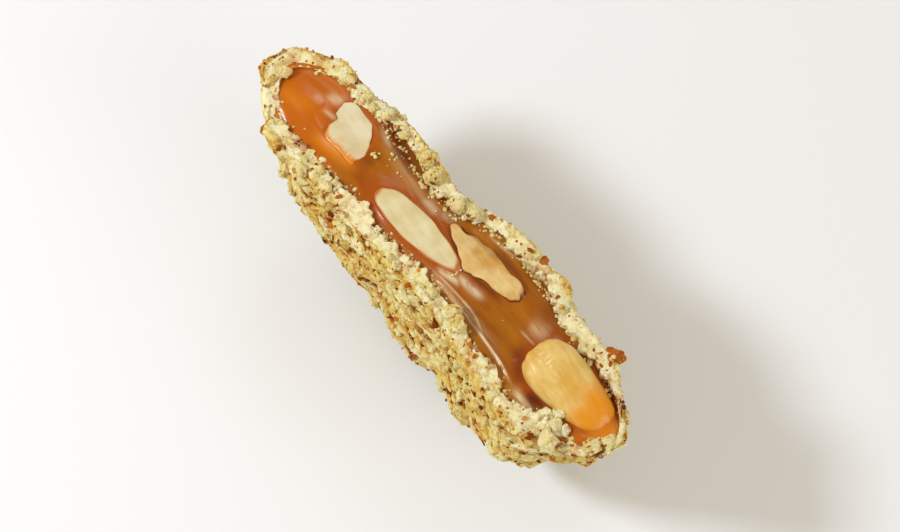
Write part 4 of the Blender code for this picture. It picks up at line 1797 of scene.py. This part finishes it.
    def in_pit(self, x: Array, y: Array) -> Array:
        """Way from the middle of the pit beside the whole almond: an oval's level.

        Args:
            x: Places along the cut.
            y: Places across the cut.

        Returns:
            0 in the middle and 1 at the brim.
        """
        along, across = x / MM - self.pit_mm[0], y / MM - self.pit_mm[1]
        long, wide = self.pit_half_mm
        return np.hypot(along / long, (across - 0.05 * along) / wide)

    def level(self, x: Array, y: Array) -> Array:
        """Height of the toffee's surface in the cut."""
        return self.patty.cut_z - self.patty.toffee_below_cut + self.height(x, y)

    def edge_places(self, count: int, draw: np.random.Generator) -> Array:
        """Places of crumbs that fell over the toffee's edge, close to it.

        Args:
            count: How many crumbs.
            draw: Random numbers.

        Returns:
            One place for each crumb, just over the toffee.
        """
        x = draw.uniform(-40.5, 40.5, count) * MM
        in_from_edge = np.abs(draw.normal(0, 0.55, count)) * MM - 0.2 * MM
        near_side = draw.random(count) < 0.5
        y = np.where(near_side, self.patty.near(x) + in_from_edge, self.patty.far(x) - in_from_edge)
        return np.stack([x, y, self.level(x, y) + 0.1 * MM], axis=-1)

    def shades(self, x: Array, y: Array) -> dict[str, Array]:
        """Where light comes through the toffee, where it has a darker red rim, where shade is painted, and
        where sheen is painted.

        Args:
            x: Places along the cut.
            y: Places across the cut.

        Returns:
            The share of each zone's colour at each place, from 0 to 1, under the zone's name.
        """
        from_far = (self.patty.far(x) - y) / MM
        end = smooth_step(-x, 19 * MM, 27 * MM)
        tip = smooth_step(x, 34 * MM, 38.5 * MM)
        glow = np.maximum(end * 0.95, tip)
        for almond, strength in zip(self.almonds, self.glow_at_almonds):
            outside = np.maximum(almond.footprint(x, y), 0)
            glow = np.maximum(glow, strength * np.exp(-outside / (0.9 * MM)))
        # Painted highlight lines along the two lips, with a pale painted sheen between them and on the far
        # lip.
        lip_y, inner_y = (self.patty.edge(x, knots) for knots in (self.near_lip_mm, self.inner_lip_mm))
        lip = np.exp(-(((y - lip_y + 0.35 * MM) / (0.22 * MM)) ** 2))
        lip = lip * np.exp(-(((x / MM - 12.5) / 10) ** 4))
        inner = np.exp(-(((y - inner_y + 0.3 * MM) / (0.18 * MM)) ** 2))
        inner = inner * np.exp(-(((x / MM - 8) / 6.5) ** 4))
        between = np.exp(-(((y - lip_y - 0.2 * MM) / (0.7 * MM)) ** 2))
        between = between * np.exp(-(((x / MM - 9) / 9) ** 4))
        lip = np.maximum(np.maximum(0.95 * lip, 0.9 * inner), 0.25 * between)
        far_lip = np.exp(-(((from_far - 2.0) / 0.9) ** 2)) * np.exp(-(((x / MM + 14) / 8) ** 2))
        blush = np.zeros_like(x)
        for almond, strength in zip(self.almonds, self.blush_at_almonds):
            outside = np.maximum(almond.footprint(x, y), 0)
            blush = np.maximum(blush, strength * (1 - tip) * np.exp(-((outside / (1.1 * MM)) ** 2)))
        zones = {"glow": glow, "milky": np.maximum(lip, 0.22 * far_lip), "blush": blush}
        for name in ("milky", "dark", "bright"):
            start = zones.get(name, np.zeros_like(x))
            patches = np.max([patch.share(x, y) for patch in getattr(self, name)], axis=0)
            zones[name] = np.maximum(start, patches)
        # Painted shade in the pit beside the whole almond, lighter in its middle where light comes through.
        at_x, at_y, wide_x, wide_y = self.pit_light_mm
        floor = np.exp(-(((x / MM - at_x) / wide_x) ** 2) - ((y / MM - at_y) / wide_y) ** 2)
        zones["dark"] = np.maximum(zones["dark"], np.exp(-(self.in_pit(x, y) ** 4)) * (1 - 0.5 * floor))
        return {name: np.clip(value, 0, 1) for name, value in zones.items()}

    def build(self) -> None:
        along = np.linspace(0, 1, self.rows)[:, None]
        down = np.linspace(1, 0.05, self.bowl_columns)[None, :]
        inset = self.inset + (1 - self.inset) * smooth_step(down, -0.04, 0.13)
        near = self.patty.bowl(along, down, np.array(-1.0), inset)
        far = self.patty.bowl(along, down[:, ::-1], np.array(1.0), inset[:, ::-1])
        at_cut, inset_there = np.zeros((1, 1)), np.array(self.inset)
        near_top, far_top = (
            self.patty.bowl(along, at_cut, np.array(side), inset_there) for side in (-1.0, 1.0)
        )
        share = np.linspace(0, 1, self.top_columns)[None, :, None]
        top = near_top + (far_top - near_top) * share
        top[..., 2] = self.level(top[..., 0], top[..., 1])
        surface = Surface.from_grid(np.concatenate([near, top, far], axis=1)).outward()
        over_floor = 0.3 * MM
        surface.points[:, 2] = np.maximum(surface.points[:, 2], over_floor)
        surface.values = self.shades(surface.points[:, 0], surface.points[:, 1])
        place_piece(surface.to_object("toffee_filling", TOFFEE.material()), "toffee", "toffee")


@dataclass
class FallenCrumbs:
    """Pale crumbs that lie here and there on the toffee.

    Attributes:
        toffee: The toffee that they lie on.
        count: How many lie alone.
        seed: Start of the random draw.
        in_cluster: How many lie in each cluster.
        clusters_mm: Middles of the clusters, as X and Y.
    """

    toffee: Toffee
    count: int = 16
    seed: int = 91
    in_cluster: int = 5
    clusters_mm: tuple[tuple[float, float], ...] = (
        (-20.4, 0.7), (-18.6, 3.1), (-4.2, 4.4), (3.9, -1.0),
        (28.2, 6.3), (34.0, 5.2), (40.2, -0.6), (-38.0, 2.2),
    )

    def build(self) -> None:
        draw = np.random.default_rng(self.seed)
        x = draw.uniform(-38, 38, self.count * 6) * MM
        patty = self.toffee.patty
        y = patty.near(x) + draw.uniform(0.06, 0.94, len(x)) * (patty.far(x) - patty.near(x))
        clear = np.min([almond.footprint(x, y) for almond in self.toffee.almonds], axis=0) > 0.4 * MM
        x, y = x[clear][: self.count], y[clear][: self.count]
        middles = np.repeat(np.array(self.clusters_mm) * MM, self.in_cluster, axis=0)
        middles = middles + draw.normal(0, 0.35 * MM, middles.shape)
        x, y = np.concatenate([x, middles[:, 0]]), np.concatenate([y, middles[:, 1]])
        half = (0.10 + 0.26 * draw.random(len(x)) ** 2.2) * MM
        half[-len(middles) :] += 0.12 * MM
        places = np.stack([x, y, self.toffee.level(x, y) + 0.5 * half], axis=-1)
        frames = frames_on(np.tile((0.0, 0.0, 1.0), (len(x), 1)), 3.0, draw)
        sizes = half[:, None] * draw.uniform(0.8, 1.2, (len(x), 3))
        crumbs = crumbs_at(places, frames, sizes, Form.CHIP, draw, shade=0.65)
        place_piece(crumbs.to_object("crumbs_on_toffee", ALMOND_MEAL.material()), "ground_almond", "coat")


# ---------------------------------------------------------------- studio


@dataclass
class Studio:
    """A pale floor, soft lights and the camera.

    Attributes:
        azimuth: Camera's turn about Z, 0 looking along +Y, in degrees.
        elevation: Camera's height over the horizon, in degrees.
        lens: Focal length, in millimetres.
        width_shown: Width that the picture shows at the object, in metres.
        aim: The point in the middle of the picture.
        floor_shade: Hex colour of the floor, a matt card that stays pale up to its edge.
        sky_shade: Hex colour of the light from all round.
        sky_strength: Its strength.
    """

    azimuth: float = 52.8
    elevation: float = 68.0
    lens: float = 180.0
    width_shown: float = 0.1456
    aim: tuple[float, float, float] = (0.0, 0.5 * MM, 28 * MM)
    floor_shade: str = "E6EEFC"
    sky_shade: str = "FFEBC8"
    sky_strength: float = 0.60

    @property
    def axes(self) -> tuple[Vector, Vector, Vector]:
        """The camera's axes.

        Returns:
            Right, up and towards the camera, as unit vectors.
        """
        turn, lift = math.radians(self.azimuth), math.radians(self.elevation)
        back = Vector((math.sin(turn) * math.cos(lift), -math.cos(turn) * math.cos(lift), math.sin(lift)))
        right = Vector((math.cos(turn), math.sin(turn), 0))
        return right, back.cross(right), back

    def camera(self) -> None:
        """Makes the camera."""
        data = bpy.data.cameras.new("camera")
        data.lens = self.lens
        data.sensor_width = 36.0
        made = bpy.data.objects.new("camera", data)
        back = self.axes[2]
        distance = self.width_shown * self.lens / data.sensor_width
        made.location = Vector(self.aim) + back * distance
        made.rotation_euler = back.to_track_quat("Z", "Y").to_euler()
        data.clip_start = 0.01
        bpy.context.scene.collection.objects.link(made)
        bpy.context.scene.camera = made

    def light(
        self, name: str, way: tuple[float, float, float], distance: float, size: float, power: float
    ) -> None:
        """Makes a square soft light that faces the object.

        Args:
            name: Its name.
            way: Shares of right, up and towards the camera that give its direction.
            distance: How far away it is.
            size: Its side.
            power: Its power, in watts.
        """
        shares = (axis * share for axis, share in zip(self.axes, way))
        direction = sum(shares, Vector((0, 0, 0))).normalized()
        data = bpy.data.lights.new(name, "AREA")
        data.size = size
        data.energy = power
        made = bpy.data.objects.new(name, data)
        made.location = Vector(self.aim) + direction * distance
        made.rotation_euler = direction.to_track_quat("Z", "Y").to_euler()
        bpy.context.scene.collection.objects.link(made)

    def floor(self) -> None:
        """Makes the pale floor, a wide disc."""
        turn = np.linspace(0, 2 * math.pi, 96, endpoint=False)
        reach = np.array([0.0, 0.05, 0.2, 0.8, 3.0])[:, None]
        flat = np.zeros((len(reach), len(turn)))
        grid = np.stack(np.broadcast_arrays(reach * np.cos(turn), reach * np.sin(turn), flat), -1)
        made, _, shader = new_material("pale_studio_floor")
        shader.inputs["Base Color"].default_value = linear(self.floor_shade)
        shader.inputs["Roughness"].default_value = 0.9
        surface = Surface.from_grid(grid, closed=True)
        if surface.normals()[:, 2].sum() < 0:
            surface.triangles = surface.triangles[:, ::-1]
        surface.to_object("floor", made)

    def build(self) -> None:
        """Makes the floor, the camera and the lights."""
        self.floor()
        self.camera()
        self.light("key_softbox", (-1.0, 0.4, 0.9), 0.55, 0.11, 1.8)
        self.light("back_softbox", (0.1, 1.1, 0.55), 0.6, 0.2, 0.24)
        self.light("fill_softbox", (0.9, -0.5, 0.8), 0.7, 0.5, 1.5)
        world = bpy.data.worlds.new("studio")
        world.use_nodes = True
        shader = world.node_tree.nodes["Background"]
        shader.inputs["Color"].default_value = linear(self.sky_shade)
        shader.inputs["Strength"].default_value = self.sky_strength
        bpy.context.scene.world = world
        bpy.context.scene.view_settings.view_transform = "Standard"


NUT_PIECES = Scatter(
    "almond_chips", Form.NUGGET, 300, (1.0, 2.0), CHOPPED_ALMOND, 104, sunk=0.82, clotting=0.5
)

SCATTERS = (
    Scatter("meal_fine", Form.GRAIN, 13000, (0.24, 0.5), ALMOND_MEAL, 101, sunk=0.7, at_toffee_edge=260),
    Scatter(
        "meal_toasted", Form.GRAIN, 4000, (0.24, 0.5), TOASTED_MEAL, 107,
        sunk=0.7, clotting=0.4, at_toffee_edge=80,
    ),
    Scatter(
        "meal_medium", Form.CRUMB, 9000, (0.45, 1.0), ALMOND_MEAL, 102, sunk=0.78, at_toffee_edge=300
    ),
    Scatter(
        "meal_coarse", Form.CRUMB, 1200, (0.9, 1.7), ALMOND_MEAL, 103,
        sunk=0.8, clotting=0.6, at_toffee_edge=60,
    ),
    Scatter(
        "skin_flecks", Form.FLAKE, 1400, (0.3, 1.0), ALMOND_SKIN, 105,
        length=1.7, flatness=0.3, sunk=0.15, tilt=0.25, clotting=0.8, at_toffee_edge=15, in_seams=4.0,
    ),
    Scatter(
        "tawny_flecks", Form.FLAKE, 1200, (0.3, 1.0), TAWNY_SKIN, 106,
        length=2.0, flatness=0.3, sunk=0.25, tilt=0.25, clotting=0.7, at_toffee_edge=15, in_seams=4.0,
    ),
    Scatter(
        "skin_patches", Form.FLAKE, 80, (1.1, 2.3), ALMOND_SKIN, 108,
        length=1.6, flatness=0.25, sunk=0.4, tilt=0.15, clotting=0.5, in_seams=4.0,
    ),
    Scatter(
        "tawny_patches", Form.FLAKE, 55, (1.0, 2.0), TAWNY_SKIN, 109,
        length=1.5, flatness=0.3, sunk=0.4, tilt=0.15, clotting=0.5, in_seams=4.0,
    ),
)


def main() -> None:
    """Builds the piece from the outside in, then the studio."""
    logging.basicConfig(level=logging.INFO, format="%(name)s: %(message)s")
    toffee = Toffee()
    coat = Coat().build()
    bits = joined([ChoppedBits().build(), NUT_PIECES.build(coat, toffee)])
    bits.values["hidden"] = np.full(len(bits.points), -0.2)
    covered = joined([coat, bits])
    for kind in SCATTERS:
        kind.build(covered, toffee)
    toffee.build()
    for almond in ALMONDS:
        almond.build()
    FallenCrumbs(toffee).build()
    Studio().build()


if __name__ == "__main__":
    main()
